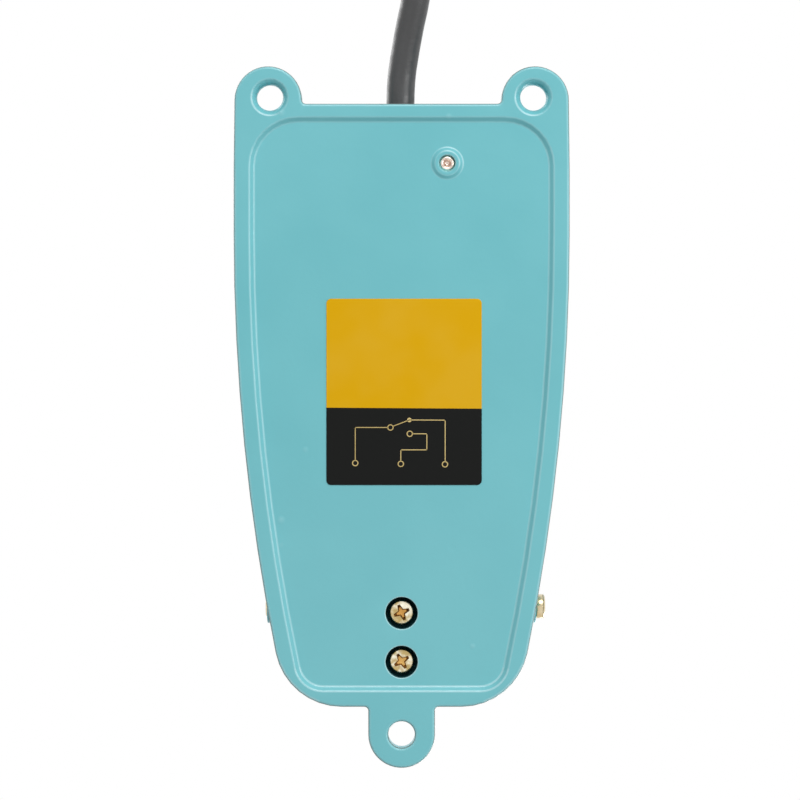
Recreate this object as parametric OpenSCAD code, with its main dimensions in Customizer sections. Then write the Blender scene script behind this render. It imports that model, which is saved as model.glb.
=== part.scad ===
// Industrial foot switch: a cast base, a hinged cast pedal and a snap-action switch between them.
// Millimetres. +Z is up, +Y points at the toe end, where the cable leaves. The origin lies at the
// centre of the base, on the surface that the base stands on.

/* [Base casting] */
// Length over the ears and the heel tab
total_len = 172.4; // [168:0.1:180]
// Width of the base at its wide end
body_w = 82.6; // [80:0.1:90]
// Thickness of the flange at its rim
flange_t = 4.5; // [4.3:0.1:5]
// Depth of the recess in the underside
recess_d = 1; // [0.6:0.1:1.2]
// Width of the flat rim round the recess
rim_w = 3.9; // [3:0.1:6]
// Width of the rim along the wide end
rim_rear_w = 3.3; // [3:0.1:6]
// Width of the sloped step between rim and recess
step_w = 1.1; // [0.6:0.1:2]
// Radius of the taper of the sides
side_r = 517; // [480:1:700]
// Length of the straight sides at the wide end
straight_len = 32; // [25:0.1:40]
// Corner radius at the narrow end
narrow_r = 16.5; // [14:0.5:18]
// Corner radius at the wide end
wide_r = 16; // [14:0.5:18]
// Radius of the recess corners at the narrow end
recess_narrow_r = 7; // [5:0.5:9]
// Radius of the recess corners at the wide end
recess_wide_r = 12; // [9:0.5:13]
// Radius of each mounting ear
ear_r = 8.3; // [7.5:0.1:9]
// Inset of the ear centres from the sides
ear_inset = 8.5; // [8.4:0.1:11]
// How far the ear centres stand beyond the wide end's edge
ear_out = 0.9; // [0.6:0.1:3]
// Distance between the two ear holes
ear_hole_pitch = 64.8; // [62:0.1:66]
// How far the ear holes stand beyond the ear centres
ear_hole_out = 0.7; // [0:0.1:1.5]
// Radius of the heel tab
tab_r = 8.2; // [7.5:0.1:10]
// How far the tab's centre stands beyond the narrow end's edge
tab_out = 6.8; // [5:0.1:9]
// Diameter of the mounting holes
mount_hole_d = 6.5; // [5:0.1:7]
// Diameter of the rounded mouths under the ear holes
ear_mouth_d = 9; // [7.6:0.1:10]
// Height of the tray wall's top
wall_top = 14; // [12:0.5:15]
// Thickness of the tray wall
wall_t = 2; // [1.6:0.1:2.4]
// Inset of the tray wall's outside from the flange edge
wall_in = 4.6; // [4.5:0.1:5]

/* [Pedal] */
// Gap in plan between the skirt's lower edge and the flange edge
pedal_inset = 0.4; // [0.2:0.1:0.6]
// Draft of the skirt
pedal_draft = 0.8; // [0.5:0.1:1]
// Thickness of the skirt
pedal_wall = 2.6; // [2.2:0.1:2.7]
// Height of the top face over the narrow end
heel_top = 31; // [30:0.5:34]
// Height of the top face over the wide end
toe_top = 48; // [46:0.5:52]
// Clearance under the skirt at the narrow end, where it stops on the flange
heel_gap = 0.3; // [0.2:0.05:0.6]
// Height of the skirt's lower edge at the wide end
skirt_toe = 17; // [16.5:0.5:20]
// Depth from the top face to the underside of the pedal
roof_t = 4.5; // [4:0.1:5]
// Depth of the recess for the tread pad
pad_recess = 1.6; // [1.2:0.1:2]
// Thickness of the tread pad
pad_t = 2.8; // [2:0.1:4]
// Inset of the tread pad's recess from the flange edge
pad_in = 9; // [8:0.5:14]
// Clearance round the tread pad
pad_gap = 0.3; // [0.1:0.1:0.5]
// Spacing of the tread ribs
rib_pitch = 7; // [5:0.5:12]
// Height of the tread ribs
rib_h = 0.8; // [0.4:0.1:1.2]
// Width of the cable notch in the skirt
notch_w = 14.4; // [14:0.2:18]
// Height of the cable notch in the skirt
notch_top = 29; // [28.5:0.5:31]

/* [Hinge] */
// Distance from the narrow end's edge to the hinge
hinge_in = 23.5; // [22:0.1:25]
// Height of the hinge
hinge_z = 17; // [16.5:0.1:17.5]
// Diameter of the hinge pin
pin_d = 5; // [4:0.1:5.2]
// Diameter of the pin's head
pin_head_d = 6; // [5.8:0.1:8]
// Length of the pin's head
pin_head_len = 2.2; // [1.5:0.1:3]
// Radial clearance of the pin in its bores
pin_clear = 0.05; // [0.03:0.01:0.08]
// Diameter of the pedal's outer hinge bosses
boss_d = 8.4; // [7.5:0.1:10]
// How far the outer bosses stand out of the flange's outline
boss_out = 0.8; // [0.3:0.1:2]
// Thickness of the base's hinge lugs
lug_t = 6; // [4:0.5:8]
// Radius of the hinge lugs
lug_r = 5.5; // [4.5:0.1:5.8]
// Inset of the hinge lugs from the flange edge
lug_in = 5.4; // [5.2:0.1:6]
// Thickness of the hinge washers
hinge_washer_t = 1.2; // [0.8:0.1:1.3]

/* [Return spring and stops] */
// Distance from the wide end's edge to the return spring
spring_in = 37; // [35:0.1:40]
// Mean diameter of the return spring
spring_d = 12.4; // [10:0.2:14]
// Wire diameter of the return spring
spring_wire = 1.6; // [1:0.1:2]
// Turns of the return spring
spring_turns = 8.5; // [6:0.5:9]
// Depth of the pedal's spring seat under its top face
spring_drop = 5.8; // [5.7:0.1:7.5]
// Distance from the wide end's edge to the bump stops
stop_in = 22; // [19:0.1:25]
// Distance of each bump stop from the sides at the wide end
stop_inset = 14.3; // [13.5:0.1:17]
// Diameter of the bump stops
stop_d = 10; // [8:0.5:12]
// Height of the bump stops
stop_h = 5.7; // [4:0.1:5.8]
// Height of the lower end of the pedal's stop posts
post_z = 20; // [20:0.5:24]
// Diameter of the pedal's stop posts
post_d = 8; // [6:0.5:9]

/* [Switch] */
// Length of the switch body
sw_len = 27.8; // [27.6:0.1:28]
// Width of the switch body
sw_w = 10.3; // [10:0.1:10.6]
// Height of the switch body
sw_h = 15.9; // [15.8:0.1:16]
// Height of the switch body's underside
sw_z = 8; // [7.9:0.1:8.1]
// Distance from the hinge to the near end of the switch body
sw_from_hinge = 19.7; // [19.4:0.1:20]
// Wall of the switch case
sw_wall = 1.5; // [1.2:0.1:1.6]
// Thickness of the switch cover
sw_cover_t = 1.8; // [1.4:0.1:2]
// Height of the switch body's mounting holes over its underside
sw_hole_z = 2.8; // [2.6:0.1:3]
// Distance between the mounting holes
sw_hole_pitch = 22.2; // [22:0.1:22.4]
// Width of the terminal tabs
tab_w = 4.8; // [4:0.1:5]
// Thickness of the terminal strips
strip_t = 0.5; // [0.4:0.1:0.6]
// Height of the normally open terminal over the underside
open_z = 6.6; // [6.5:0.1:6.7]
// Step in height from one terminal to the next
tab_step = 3.4; // [3.3:0.1:3.5]
// Angle of the lever at rest
lever_angle = 7; // [6.9:0.1:7.1]
// Thickness of the lever
lever_t = 0.6; // [0.5:0.1:0.6]
// Width of the lever
lever_w = 4; // [4:0.1:5]
// Distance from the hinge to the striker
striker_from_hinge = 44.7; // [44.5:0.1:45]
// Diameter of the striker screw
striker_d = 4; // [3:0.5:4]

/* [Bracket and fasteners] */
// Thickness of the switch bracket
bracket_t = 1.5; // [1.2:0.1:1.6]
// Height of the bracket pad's top
pad_top = 8; // [7.8:0.1:8]
// Distance between the bracket screws
bracket_pitch = 12; // [11:0.5:13]
// Nominal diameter of the small screws
m3_d = 3; // [3:0.1:3.1]
// Head diameter of the small screws
m3_head_d = 5.9; // [5.5:0.1:6]
// Diameter of the counterbores
counterbore_d = 7.9; // [7:0.1:8]
// Height at which the bracket screws' heads seat
counterbore_top = 5; // [4.6:0.1:5.4]
// Clearance between a thread and its hole
thread_clear = 0.05; // [0.03:0.01:0.08]

/* [Cable] */
// Diameter of the supply cable
cable_d = 7; // [6.6:0.1:7.2]
// Height of the cable's centre where it leaves the base
cable_z = 11; // [10.8:0.1:11.2]
// Diameter of each lead
lead_d = 2; // [1.6:0.1:2]
// Distance from the wide end's edge to the clamp
clamp_in = 14.6; // [13:0.1:15]
// Distance from the middle to the clamp screw
clamp_x = 11.2; // [10:0.1:12]
// Diameter of the clamp screw
clamp_screw_d = 3.9; // [3.6:0.1:4]
// Thickness of the clamp strap
strap_t = 1; // [0.8:0.1:1.1]
// Width of the clamp strap
strap_w = 8; // [6:0.5:9]
// Outside diameter of the ring boss round the clamp screw's tip
tip_boss_d = 7.9; // [7:0.1:9]
// Thickness of the coil's tie
tie_t = 0.6; // [0.5:0.1:0.6]
// Width of the coil's tie
tie_w = 8; // [5:0.5:10]

/* [Label] */
// Width of the rating label
label_w = 38.2; // [30:0.1:44]
// Height of the rating label
label_h = 45.8; // [36:0.1:50]
// Thickness of the rating label
label_t = 0.18; // [0.1:0.01:0.3]

/* [Hidden] */
$fn = 64;
eps = 0.01;

// Plan of the base
half_w = body_w / 2;
ear_y = total_len / 2 - ear_r;
ear_x = half_w - ear_inset;
ear_hole = [ear_hole_pitch / 2, ear_y + ear_hole_out];
tab_y = tab_r - total_len / 2;
rear_y = ear_y - ear_out;
front_y = tab_y + tab_out;
taper_y = rear_y - straight_len;
fillet_r = 1;

// Hinge line
hinge_y = front_y + hinge_in;
hinge_half = side_x(hinge_y);
lug_face = hinge_half - lug_in;
washer_x = lug_face + 0.1;
inner_boss_x = washer_x + hinge_washer_t + 0.1;
outer_boss_x = hinge_half + boss_out;
pin_out = 0.4;
spot_face = 0.6;
pin_r = pin_d / 2;
clip_t = 0.7;
clip_x = lug_face - lug_t - clip_t - 0.2;
clip_groove = 0.4;

// Pedal
skirt_heel = flange_t + heel_gap;
edge_h = 6;

// Return spring and stops
spring_y = rear_y - spring_in;
spring_top = top_z(spring_y) - spring_drop;
spring_room = spring_d / 2 + spring_wire / 2 + lead_d / 2 + 1.5;
seat_h = 2;
spigot_h = 4;
stop_x = half_w - stop_inset;
stop_y = rear_y - stop_in;
stud_d = 4.8;
stud_h = 1.8;

// Switch
sw_y = hinge_y + sw_from_hinge;
sw_end = sw_y + sw_len;
sw_half = sw_w / 2;
sw_top = sw_z + sw_h;
cover_x = sw_half - sw_cover_t;
cavity_x = -sw_half + sw_wall;
hole_zs = sw_z + sw_hole_z;
hole_ys = [sw_end - sw_hole_z - sw_hole_pitch, sw_end - sw_hole_z];
tab_zs = [for (i = [0:2]) sw_z + open_z + i * tab_step];
tab_out_len = 7.2;
contact_y = sw_y + 5.5;
contact_r = 1.25;
blade_t = 0.3;
blade_y = sw_end - 8.3;
blade_z = tab_zs[1] + strip_t / 2 + 0.05;
blade_tip = contact_y - 1.5;
rivet_low = blade_z - 1;
rivet_high = blade_z + 1.4;
plunger_y = sw_y + 11;
plunger_r = 1.5;
plunger_top = sw_top + 2.75;
stem_r = 1;
stem_z = blade_z + blade_t + 0.85;
pivot_y = sw_y + 2;
pivot_z = sw_top + 0.8;
pivot_r = 0.4;
lug_half = 0.9;
lever_rise = 1.1;
lever_len = 26.5;
striker_y = hinge_y + striker_from_hinge;
striker_z = pivot_z + (lever_rise + lever_t) / cos(lever_angle)
    + (striker_y - pivot_y) * tan(lever_angle) + 0.3;
striker_nut_t = 2.2;
striker_nut_af = 7;
striker_boss_z = striker_z + 0.6 + striker_nut_t + 0.1;

// Bracket and fasteners
m3_r = m3_d / 2 - thread_clear;
m3_nut_t = 2.4;
m3_af = 5.5;
lock_t = 0.8;
screw_ys = [hinge_y - 0.5, hinge_y - 0.5 - bracket_pitch];
bracket_x = sw_half + 0.05;
bracket_half = 8;
foot_y = [screw_ys[1] - 4.6, screw_ys[0] + 6.2];
bracket_start = screw_ys[1] - 3.4;
flange_top = sw_top - 2.9;
pin_pass = hinge_z - pin_r - 1;

// Cable, clamp and grommet
cable_r = cable_d / 2;
cable_x = 0.4;
wall_out_y = rear_y - wall_in;
grommet_r = cable_r + 1.75;
grommet_flange_r = grommet_r + 1.25;
grommet_flange_t = 1.2;
grommet_gap = 0.05;
cable_exit_y = wall_out_y + grommet_gap + grommet_flange_t;
clamp_y = rear_y - clamp_in;
jacket_end_y = clamp_y - 7.4;
ring_r = cable_r + grommet_gap + strap_t;
clamp_boss_top = cable_z - ring_r;
hump_half = grommet_flange_r + 2.5;
hump_top = notch_top + 0.5;

// Route of the supply cable from the grommet to its coil, chosen by hand
cable_route = [[0.4, 73.4, 11], [0.3, 77.5, 11], [0.2, 81.5, 10.9], [-0.1, 85.5, 10.5],
    [-0.7, 89.5, 9.7], [-1.4, 93.5, 8.7], [-2.3, 98, 7.4], [-3.2, 102, 6.3], [-3.8, 106, 5.3],
    [-4.1, 110, 4.6], [-3.9, 114, 4.2], [-3.2, 118, 4.1], [-2, 122, 4.1], [-0.5, 126, 4.1],
    [1.2, 130, 4.1], [2.8, 134, 4.1], [4.2, 138, 4.1], [5.3, 142, 4.1], [5.9, 146, 4.1],
    [6, 150, 4.1]];
coil_r = 38.6;
coil_x = 6 - coil_r;
coil_y = 150;
coil_pitch = 7.1;
coil_z = tie_t;
coil_rows = 3;
coil_in = coil_r - coil_pitch - cable_r;
coil_out = coil_r + cable_r;
coil_top = coil_z + (coil_rows - 1) * coil_pitch + cable_d;
tie_angle = 165;
tie_gap = 0.3;

// Receptacles on the switch's terminals
crimp_start = sw_end + 0.4;
crimp_end = sw_end + 9.4;
barrel_end = sw_end + 13.5;
lead_start = crimp_end + 1;

// Route of the leads from the receptacles to the jacket: how far each point lies to the side, how
// much of the way along it is, in hundredths, and how far it has come down
lead_plan = [[0, 0], [0, 15], [1.5, 24], [5, 34], [9, 44], [11.6, 55.5], [12.4, 66.5],
    [11.8, 77.5], [9.4, 86.5], [6, 93], [3, 97], [0.4, 100]];
lead_fall = [0, 0, 0.12, 0.3, 0.5, 0.7, 0.86, 0.96, 1, 1, 1, 1];
lead_step = 2.1;

// Stripped ends of the cable, inside the coil, in plan from the coil's middle
ends_plan = [[-19, -25], [-12, -26.5], [-5, -26], [2, -24], [8, -20.5], [13, -16]];

teal = [0.47, 0.757, 0.796];
steel = [0.75, 0.75, 0.73];
zinc = [0.8, 0.72, 0.5];
brass = [0.8, 0.65, 0.3];
black = [0.1, 0.1, 0.1];
phenolic = [0.15, 0.12, 0.1];

// ---- Plan and surfaces ---------------------------------------------------------------------

// Half width of the flange at a place along its length
function side_x(y) = half_w - side_r + sqrt(pow(side_r, 2) - pow(max(taper_y - y, 0), 2));

function arc_points(c, r, a0, a1, n) =
    [for (i = [0:n]) c + r * [cos(a0 + (a1 - a0) * i / n), sin(a0 + (a1 - a0) * i / n)]];

// Right half of the plan's outline, from the wide end to the narrow end. The side is an arc that
// meets both corner arcs without a kink.
function half_plan(inset, rear_inset, narrow, wide) =
    let (r = side_r - inset, c = [half_w - side_r, taper_y],
        corner_y = front_y + inset + narrow, a = asin((taper_y - corner_y) / (r - narrow)),
        corner = [c[0] + (r - narrow) * cos(a), corner_y],
        rear = [half_w - inset - wide, rear_y - rear_inset - wide])
    concat(arc_points(rear, wide, 90, 0, 8), arc_points(c, r, 0, -a, 8),
        arc_points(corner, narrow, -a, -90, 8));

function full_plan(half) =
    concat(half, [for (i = [len(half) - 1:-1:0]) [-half[i][0], half[i][1]]]);

module plan(inset = 0) {
    polygon(full_plan(half_plan(inset, inset, narrow_r - inset, wide_r - inset)));
}

module recess_plan(inset) {
    polygon(full_plan(half_plan(rim_w + inset, rim_rear_w + inset, recess_narrow_r - inset,
        recess_wide_r - inset)));
}

// Rounds the inner corner between two edges that meet at a right angle
module corner_fillet(p, sx, sy) {
    translate(p) scale([sx, sy]) difference() {
        translate([-0.4, -0.4]) square(fillet_r + 0.4);
        translate([fillet_r, fillet_r]) circle(fillet_r);
    }
}

module flange_plan() {
    plan();
    for (s = [-1, 1]) {
        translate([s * ear_x, ear_y]) circle(ear_r);
        polygon([[s * (ear_x - ear_r), taper_y], [s * half_w, taper_y + straight_len / 2],
            [s * (ear_x + ear_r), ear_y], [s * (ear_x - ear_r), ear_y]]);
        corner_fillet([s * (ear_x - ear_r), rear_y], -s, 1);
        corner_fillet([s * tab_r, front_y], s, -1);
    }
    translate([0, tab_y]) circle(tab_r);
    translate([-tab_r, tab_y]) square([2 * tab_r, tab_out + 4]);
}

function span(middle, half) = [middle - half, middle + half];

function run(start, len) = [start, start + len];

// Height of the pedal's top face at a place along its length
function top_z(y) = heel_top + (toe_top - heel_top) * (y - front_y) / (rear_y - front_y);

// A slab between two sloped faces, each given by its heights over the narrow and the wide end
module sloped_slab(low, high) {
    reach = 20;
    dl = (low[1] - low[0]) / (rear_y - front_y) * reach;
    dh = (high[1] - high[0]) / (rear_y - front_y) * reach;
    rotate([90, 0, 90]) linear_extrude(height = 2 * body_w, center = true)
        polygon([[front_y - reach, low[0] - dl], [rear_y + reach, low[1] + dl],
            [rear_y + reach, high[1] + dh], [front_y - reach, high[0] - dh]]);
}

module plan_slice(inset, heel, toe) {
    intersection() {
        linear_extrude(height = 2 * toe_top) plan(inset);
        sloped_slab([heel, toe], [heel + eps, toe + eps]);
    }
}

// A part of the plan between two depths under the pedal's top face
module under_top(inset, low, high) {
    intersection() {
        linear_extrude(height = 2 * toe_top) plan(inset);
        sloped_slab([heel_top - low, toe_top - low], [heel_top - high, toe_top - high]);
    }
}

// ---- Small shared shapes -------------------------------------------------------------------

module along_x(x0, x1, r) {
    translate([x0, 0, 0]) rotate([0, 90, 0]) cylinder(h = x1 - x0, r = r);
}

module along_y(y0, y1, r) {
    translate([0, y1, 0]) rotate([90, 0, 0]) cylinder(h = y1 - y0, r = r);
}

module ring(r_in, r_out, h) {
    difference() {
        cylinder(h = h, r = r_out);
        translate([0, 0, -1]) cylinder(h = h + 2, r = r_in);
    }
}

module block(x, y, z) {
    translate([x[0], y[0], z[0]]) cube([x[1] - x[0], y[1] - y[0], z[1] - z[0]]);
}

// A hexagon nut on the XY plane
module nut(af, h, bore_r) {
    difference() {
        cylinder(h = h, r = af / 2 / cos(30), $fn = 6);
        translate([0, 0, -1]) cylinder(h = h + 2, r = bore_r);
    }
}

// A pan-head screw with a cross recess. The head stands on the XY plane and the shank hangs down.
module pan_screw(d, head_d, head_h, shank_len, turn = 0) {
    r = head_d / 2;
    dome = head_h * 0.6;
    difference() {
        rotate_extrude() polygon(concat([[0, 0], [r, 0]],
            [for (a = [0:15:75]) [r - dome + dome * cos(a), head_h - dome + dome * sin(a)]],
            [[0, head_h]]));
        rotate([0, 0, turn]) for (a = [0, 90]) rotate([0, 0, a])
            translate([-r * 0.58, -d * 0.12, head_h * 0.4]) cube([r * 1.16, d * 0.24, head_h]);
    }
    translate([0, 0, -shank_len]) cylinder(h = shank_len + eps, r = d / 2);
    translate([0, 0, -shank_len - d * 0.12])
        cylinder(h = d * 0.12 + eps, r1 = d * 0.38, r2 = d / 2);
}

// ---- Swept tubes ---------------------------------------------------------------------------

function unit(v) = v / norm(v);

function tangent(path, i) = unit(path[min(i + 1, len(path) - 1)] - path[max(i - 1, 0)]);

// One ring of a tube about a point. The ring's first point lies level with the centre.
function tube_ring(p, t, r, n) =
    let (u = unit(cross(t, [0, 0, 1])), v = cross(u, t))
    [for (j = [0:n - 1]) p + r * (cos(360 * j / n) * u + sin(360 * j / n) * v)];

module tube(path, r, n = 8, first = undef, last = undef) {
    m = len(path);
    rings = [for (i = [0:m - 1]) tube_ring(path[i],
        i == 0 && first != undef ? first : i == m - 1 && last != undef ? last : tangent(path, i),
        r, n)];
    faces = concat([[for (j = [n - 1:-1:0]) j]],
        [for (i = [0:m - 2], j = [0:n - 1]) let (k = (j + 1) % n)
            [i * n + j, i * n + k, (i + 1) * n + k, (i + 1) * n + j]],
        [[for (j = [0:n - 1]) (m - 1) * n + j]]);
    polyhedron(points = [for (ring = rings, p = ring) p], faces = faces, convexity = 8);
}

// ---- Base ----------------------------------------------------------------------------------

module base_casting() {
    color(teal) {
        difference() {
            union() {
                linear_extrude(height = flange_t) flange_plan();
                tray_wall();
                floor_pads();
                hinge_lugs();
            }
            hull() {
                translate([0, 0, -eps]) linear_extrude(height = eps) recess_plan(0);
                linear_extrude(height = recess_d) recess_plan(step_w);
            }
            base_holes();
        }
        // Ring boss in the recess round the clamp screw's tip
        translate([-clamp_x, clamp_y, recess_d * 0.3]) difference() {
            cylinder(h = recess_d * 0.7 + eps, r1 = tip_boss_d / 2 - 0.9, r2 = tip_boss_d / 2);
            translate([0, 0, -1]) cylinder(h = 3, r = clamp_screw_d / 2 + thread_clear);
        }
    }
}

module tray_wall() {
    translate([0, 0, flange_t - eps]) difference() {
        union() {
            linear_extrude(height = wall_top - flange_t + eps) plan(wall_in);
            block([-hump_half, hump_half], [wall_out_y - wall_t, wall_out_y],
                [0, hump_top - flange_t]);
        }
        translate([0, 0, -1]) linear_extrude(height = hump_top) plan(wall_in + wall_t);
    }
}

module floor_pads() {
    block([-bracket_half, bracket_half], foot_y, [flange_t - eps, pad_top]);
    translate([-clamp_x, clamp_y, flange_t - eps])
        cylinder(h = clamp_boss_top - flange_t + eps, r = tip_boss_d / 2 + 1);
    translate([0, spring_y, flange_t - eps])
        ring(spring_d / 2 + spring_wire / 2 + 0.4, spring_d / 2 + spring_wire / 2 + 2.4, seat_h);
}

module hinge_lugs() {
    for (s = [0, 1]) mirror([s, 0, 0]) {
        translate([0, hinge_y, hinge_z]) along_x(lug_face - lug_t, lug_face, lug_r);
        block([lug_face - lug_t, lug_face], [hinge_y - lug_r, hinge_y + lug_r],
            [flange_t - eps, hinge_z]);
    }
}

module base_holes() {
    for (s = [-1, 1]) translate([s * ear_hole[0], ear_hole[1], 0]) {
        translate([0, 0, -1]) cylinder(h = flange_t + 2, r = mount_hole_d / 2);
        translate([0, 0, -eps]) cylinder(h = (ear_mouth_d - mount_hole_d) / 2,
            r1 = ear_mouth_d / 2, r2 = mount_hole_d / 2);
    }
    translate([0, tab_y, -1]) cylinder(h = flange_t + 2, r = mount_hole_d / 2);
    for (y = screw_ys) translate([0, y, -1]) {
        cylinder(h = pad_top + 2, r = m3_r + 0.15);
        cylinder(h = counterbore_top + 1, r = counterbore_d / 2);
    }
    translate([-clamp_x, clamp_y, -1])
        cylinder(h = clamp_boss_top + 2, r = clamp_screw_d / 2 + thread_clear);
    for (s = [-1, 1]) translate([s * stop_x, stop_y, flange_t - stud_h - 0.2])
        cylinder(h = stud_h + 1, r = stud_d / 2 + 0.05);
    translate([0, hinge_y, hinge_z]) {
        along_x(-body_w, body_w, pin_r + pin_clear);
        for (s = [0, 1]) mirror([s, 0, 0]) along_x(lug_face, body_w, lug_r + spot_face);
    }
    translate([cable_x, 0, cable_z])
        along_y(wall_out_y - wall_t - 1, wall_out_y + 1, grommet_r + grommet_gap);
}

module rating_label() {
    corner = 1.2;
    color("goldenrod") translate([-0.6, 6.2, recess_d - label_t])
        linear_extrude(height = label_t) {
            square([label_w, label_h - 2 * corner], center = true);
            square([label_w - 2 * corner, label_h], center = true);
            for (x = [-1, 1], y = [-1, 1])
                translate([x * (label_w / 2 - corner), y * (label_h / 2 - corner)]) circle(corner);
        }
}

module bump_stops() {
    color(black) for (s = [-1, 1]) translate([s * stop_x, stop_y, flange_t]) {
        cylinder(h = stop_h - 1, r = stop_d / 2);
        translate([0, 0, stop_h - 1 - eps]) cylinder(h = 1 + eps, r1 = stop_d / 2, r2 = stop_d / 2 - 1);
        translate([0, 0, -stud_h]) cylinder(h = stud_h + eps, r = stud_d / 2);
    }
}

// ---- Pedal ---------------------------------------------------------------------------------

module pedal_casting() {
    upper = pedal_inset + pedal_draft;
    color(teal) difference() {
        union() {
            difference() {
                hull() {
                    plan_slice(pedal_inset, skirt_heel, skirt_toe);
                    plan_slice(upper, heel_top - edge_h, toe_top - edge_h);
                    plan_slice(upper + 0.5, heel_top - 3.4, toe_top - 3.4);
                    plan_slice(upper + 1.7, heel_top - 1.4, toe_top - 1.4);
                    plan_slice(upper + 3.4, heel_top - 0.4, toe_top - 0.4);
                    plan_slice(upper + 5.2, heel_top - eps, toe_top - eps);
                }
                hull() {
                    plan_slice(pedal_inset + pedal_wall - 0.1, skirt_heel - 2, skirt_toe - 2);
                    plan_slice(upper + pedal_wall, heel_top - edge_h - 1, toe_top - edge_h - 1);
                    plan_slice(upper + pedal_wall + 1.5, heel_top - roof_t - eps,
                        toe_top - roof_t - eps);
                }
                under_top(pad_in, pad_recess, -5);
            }
            pedal_bosses();
        }
        translate([0, hinge_y, hinge_z]) {
            along_x(-body_w, body_w, pin_r + pin_clear);
            along_x(-inner_boss_x, inner_boss_x, lug_r + spot_face);
        }
        cable_notch();
        translate([0, striker_y, striker_boss_z - striker_nut_t - 0.3])
            cylinder(h = striker_nut_t + 0.25, r = striker_nut_af * 0.6 + 0.3);
        translate([0, striker_y, striker_boss_z - 1])
            cylinder(h = toe_top, r = striker_d / 2 + thread_clear);
    }
}

// A round post under the pedal's roof, down to a height
module under_post(x, y, r, z) {
    translate([x, y, z]) cylinder(h = top_z(y) - (roof_t + pad_recess) / 2 - z, r = r);
}

module pedal_bosses() {
    for (s = [0, 1]) mirror([s, 0, 0]) translate([0, hinge_y, hinge_z]) {
        along_x(inner_boss_x, hinge_half - pedal_inset - 1, lug_r + 0.5);
        along_x(hinge_half - pedal_inset - 1 - eps, outer_boss_x, boss_d / 2);
    }
    for (s = [-1, 1]) under_post(s * stop_x, stop_y, post_d / 2, post_z);
    under_post(0, spring_y, spring_d / 2 + 2.6, spring_top);
    under_post(0, spring_y, (spring_d - spring_wire) / 2 - 0.5, spring_top - spigot_h);
    under_post(0, striker_y, striker_d / 2 + 3, striker_boss_z);
}

module cable_notch() {
    arch_z = notch_top - notch_w / 2;
    translate([cable_x, 0, arch_z])
        along_y(rear_y - 8, rear_y + 2, notch_w / 2);
    block([cable_x - notch_w / 2, cable_x + notch_w / 2], [rear_y - 8, rear_y + 2],
        [0, arch_z]);
}

module tread_pad() {
    inset = pad_in + pad_gap;
    first = front_y + inset + 8;
    last = rear_y - inset - 6;
    count = floor((last - first) / rib_pitch);
    color(black) {
        under_top(inset, pad_recess, pad_recess - pad_t);
        for (i = [0:count]) intersection() {
            under_top(inset + 3, 0, pad_recess - pad_t - rib_h);
            block([-half_w, half_w], run(first + i * rib_pitch, rib_pitch / 2), [0, 2 * toe_top]);
        }
    }
}

module striker_screw() {
    r = striker_d / 2;
    dome_r = 4;
    color(zinc) translate([0, striker_y, striker_z]) {
        intersection() {
            cylinder(h = 2, r = r);
            translate([0, 0, dome_r]) sphere(dome_r);
        }
        translate([0, 0, 2 - eps])
            cylinder(h = top_z(striker_y) - pad_recess - 0.5 - striker_z - 2, r = r);
    }
}

module striker_nut() {
    color(zinc) translate([0, striker_y, striker_boss_z - striker_nut_t - 0.05])
        nut(striker_nut_af, striker_nut_t, striker_d / 2 + thread_clear);
}

// ---- Hinge ---------------------------------------------------------------------------------

module hinge_pin() {
    head_x = outer_boss_x + 0.1;
    color(steel) translate([0, hinge_y, hinge_z]) difference() {
        union() {
            along_x(-head_x, outer_boss_x + pin_out, pin_r);
            along_x(-head_x - pin_head_len + 0.4, -head_x, pin_head_d / 2);
            translate([-head_x - pin_head_len, 0, 0]) rotate([0, 90, 0])
                cylinder(h = 0.4 + eps, r1 = pin_head_d / 2 - 0.4, r2 = pin_head_d / 2);
        }
        translate([clip_x - 0.1, 0, 0]) rotate([0, 90, 0])
            ring(pin_r - clip_groove, pin_r + 1, clip_t + 0.2);
    }
}

module pin_clip() {
    color(steel) translate([clip_x, hinge_y, hinge_z]) rotate([0, 90, 0]) difference() {
        ring(pin_r - clip_groove + 0.05, pin_r + 2, clip_t);
        translate([-pin_r + 0.3, -pin_r - 3, -1]) cube([2 * pin_r - 0.6, pin_r + 3, clip_t + 2]);
    }
}

module hinge_washers() {
    color("ivory") for (s = [0, 1]) mirror([s, 0, 0])
        translate([washer_x, hinge_y, hinge_z]) rotate([0, 90, 0])
            ring(pin_r + pin_clear, lug_r - 0.5, hinge_washer_t);
}

// ---- Return spring -------------------------------------------------------------------------

module return_spring() {
    steps = 14;
    r = spring_wire / 2;
    low = flange_t + r + 0.02;
    high = spring_top - r - 0.3;
    end_rise = spring_wire * 1.05;
    free = (high - low - 2 * end_rise) / (spring_turns - 2);
    n = steps * spring_turns;
    path = [for (i = [0:n]) let (turn = i / steps, a = 360 * turn)
        [spring_d / 2 * cos(a), spring_y + spring_d / 2 * sin(a),
            turn < 1 ? low + end_rise * turn
            : turn > spring_turns - 1 ? high - end_rise * (spring_turns - turn)
            : low + end_rise + free * (turn - 1)]];
    color(steel) tube(path, r);
}

// ---- Switch bracket ------------------------------------------------------------------------

module switch_bracket() {
    color(steel) difference() {
        union() {
            block([-bracket_half + 0.5, bracket_x + bracket_t], [bracket_start, foot_y[1] - 0.2],
                [pad_top, pad_top + bracket_t]);
            translate([bracket_x, 0, 0]) rotate([90, 0, 90]) linear_extrude(height = bracket_t)
                polygon([[bracket_start, pad_top], [sw_end, pad_top], [sw_end, flange_top],
                    [sw_y - 8, flange_top], [hinge_y + 6, pin_pass], [bracket_start, pin_pass]]);
        }
        for (y = screw_ys) translate([0, y, 0]) cylinder(h = 2 * pad_top, r = m3_r + 0.15);
        for (y = hole_ys) translate([0, y, hole_zs]) along_x(0, 2 * sw_w, m3_r + 0.15);
    }
}

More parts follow.
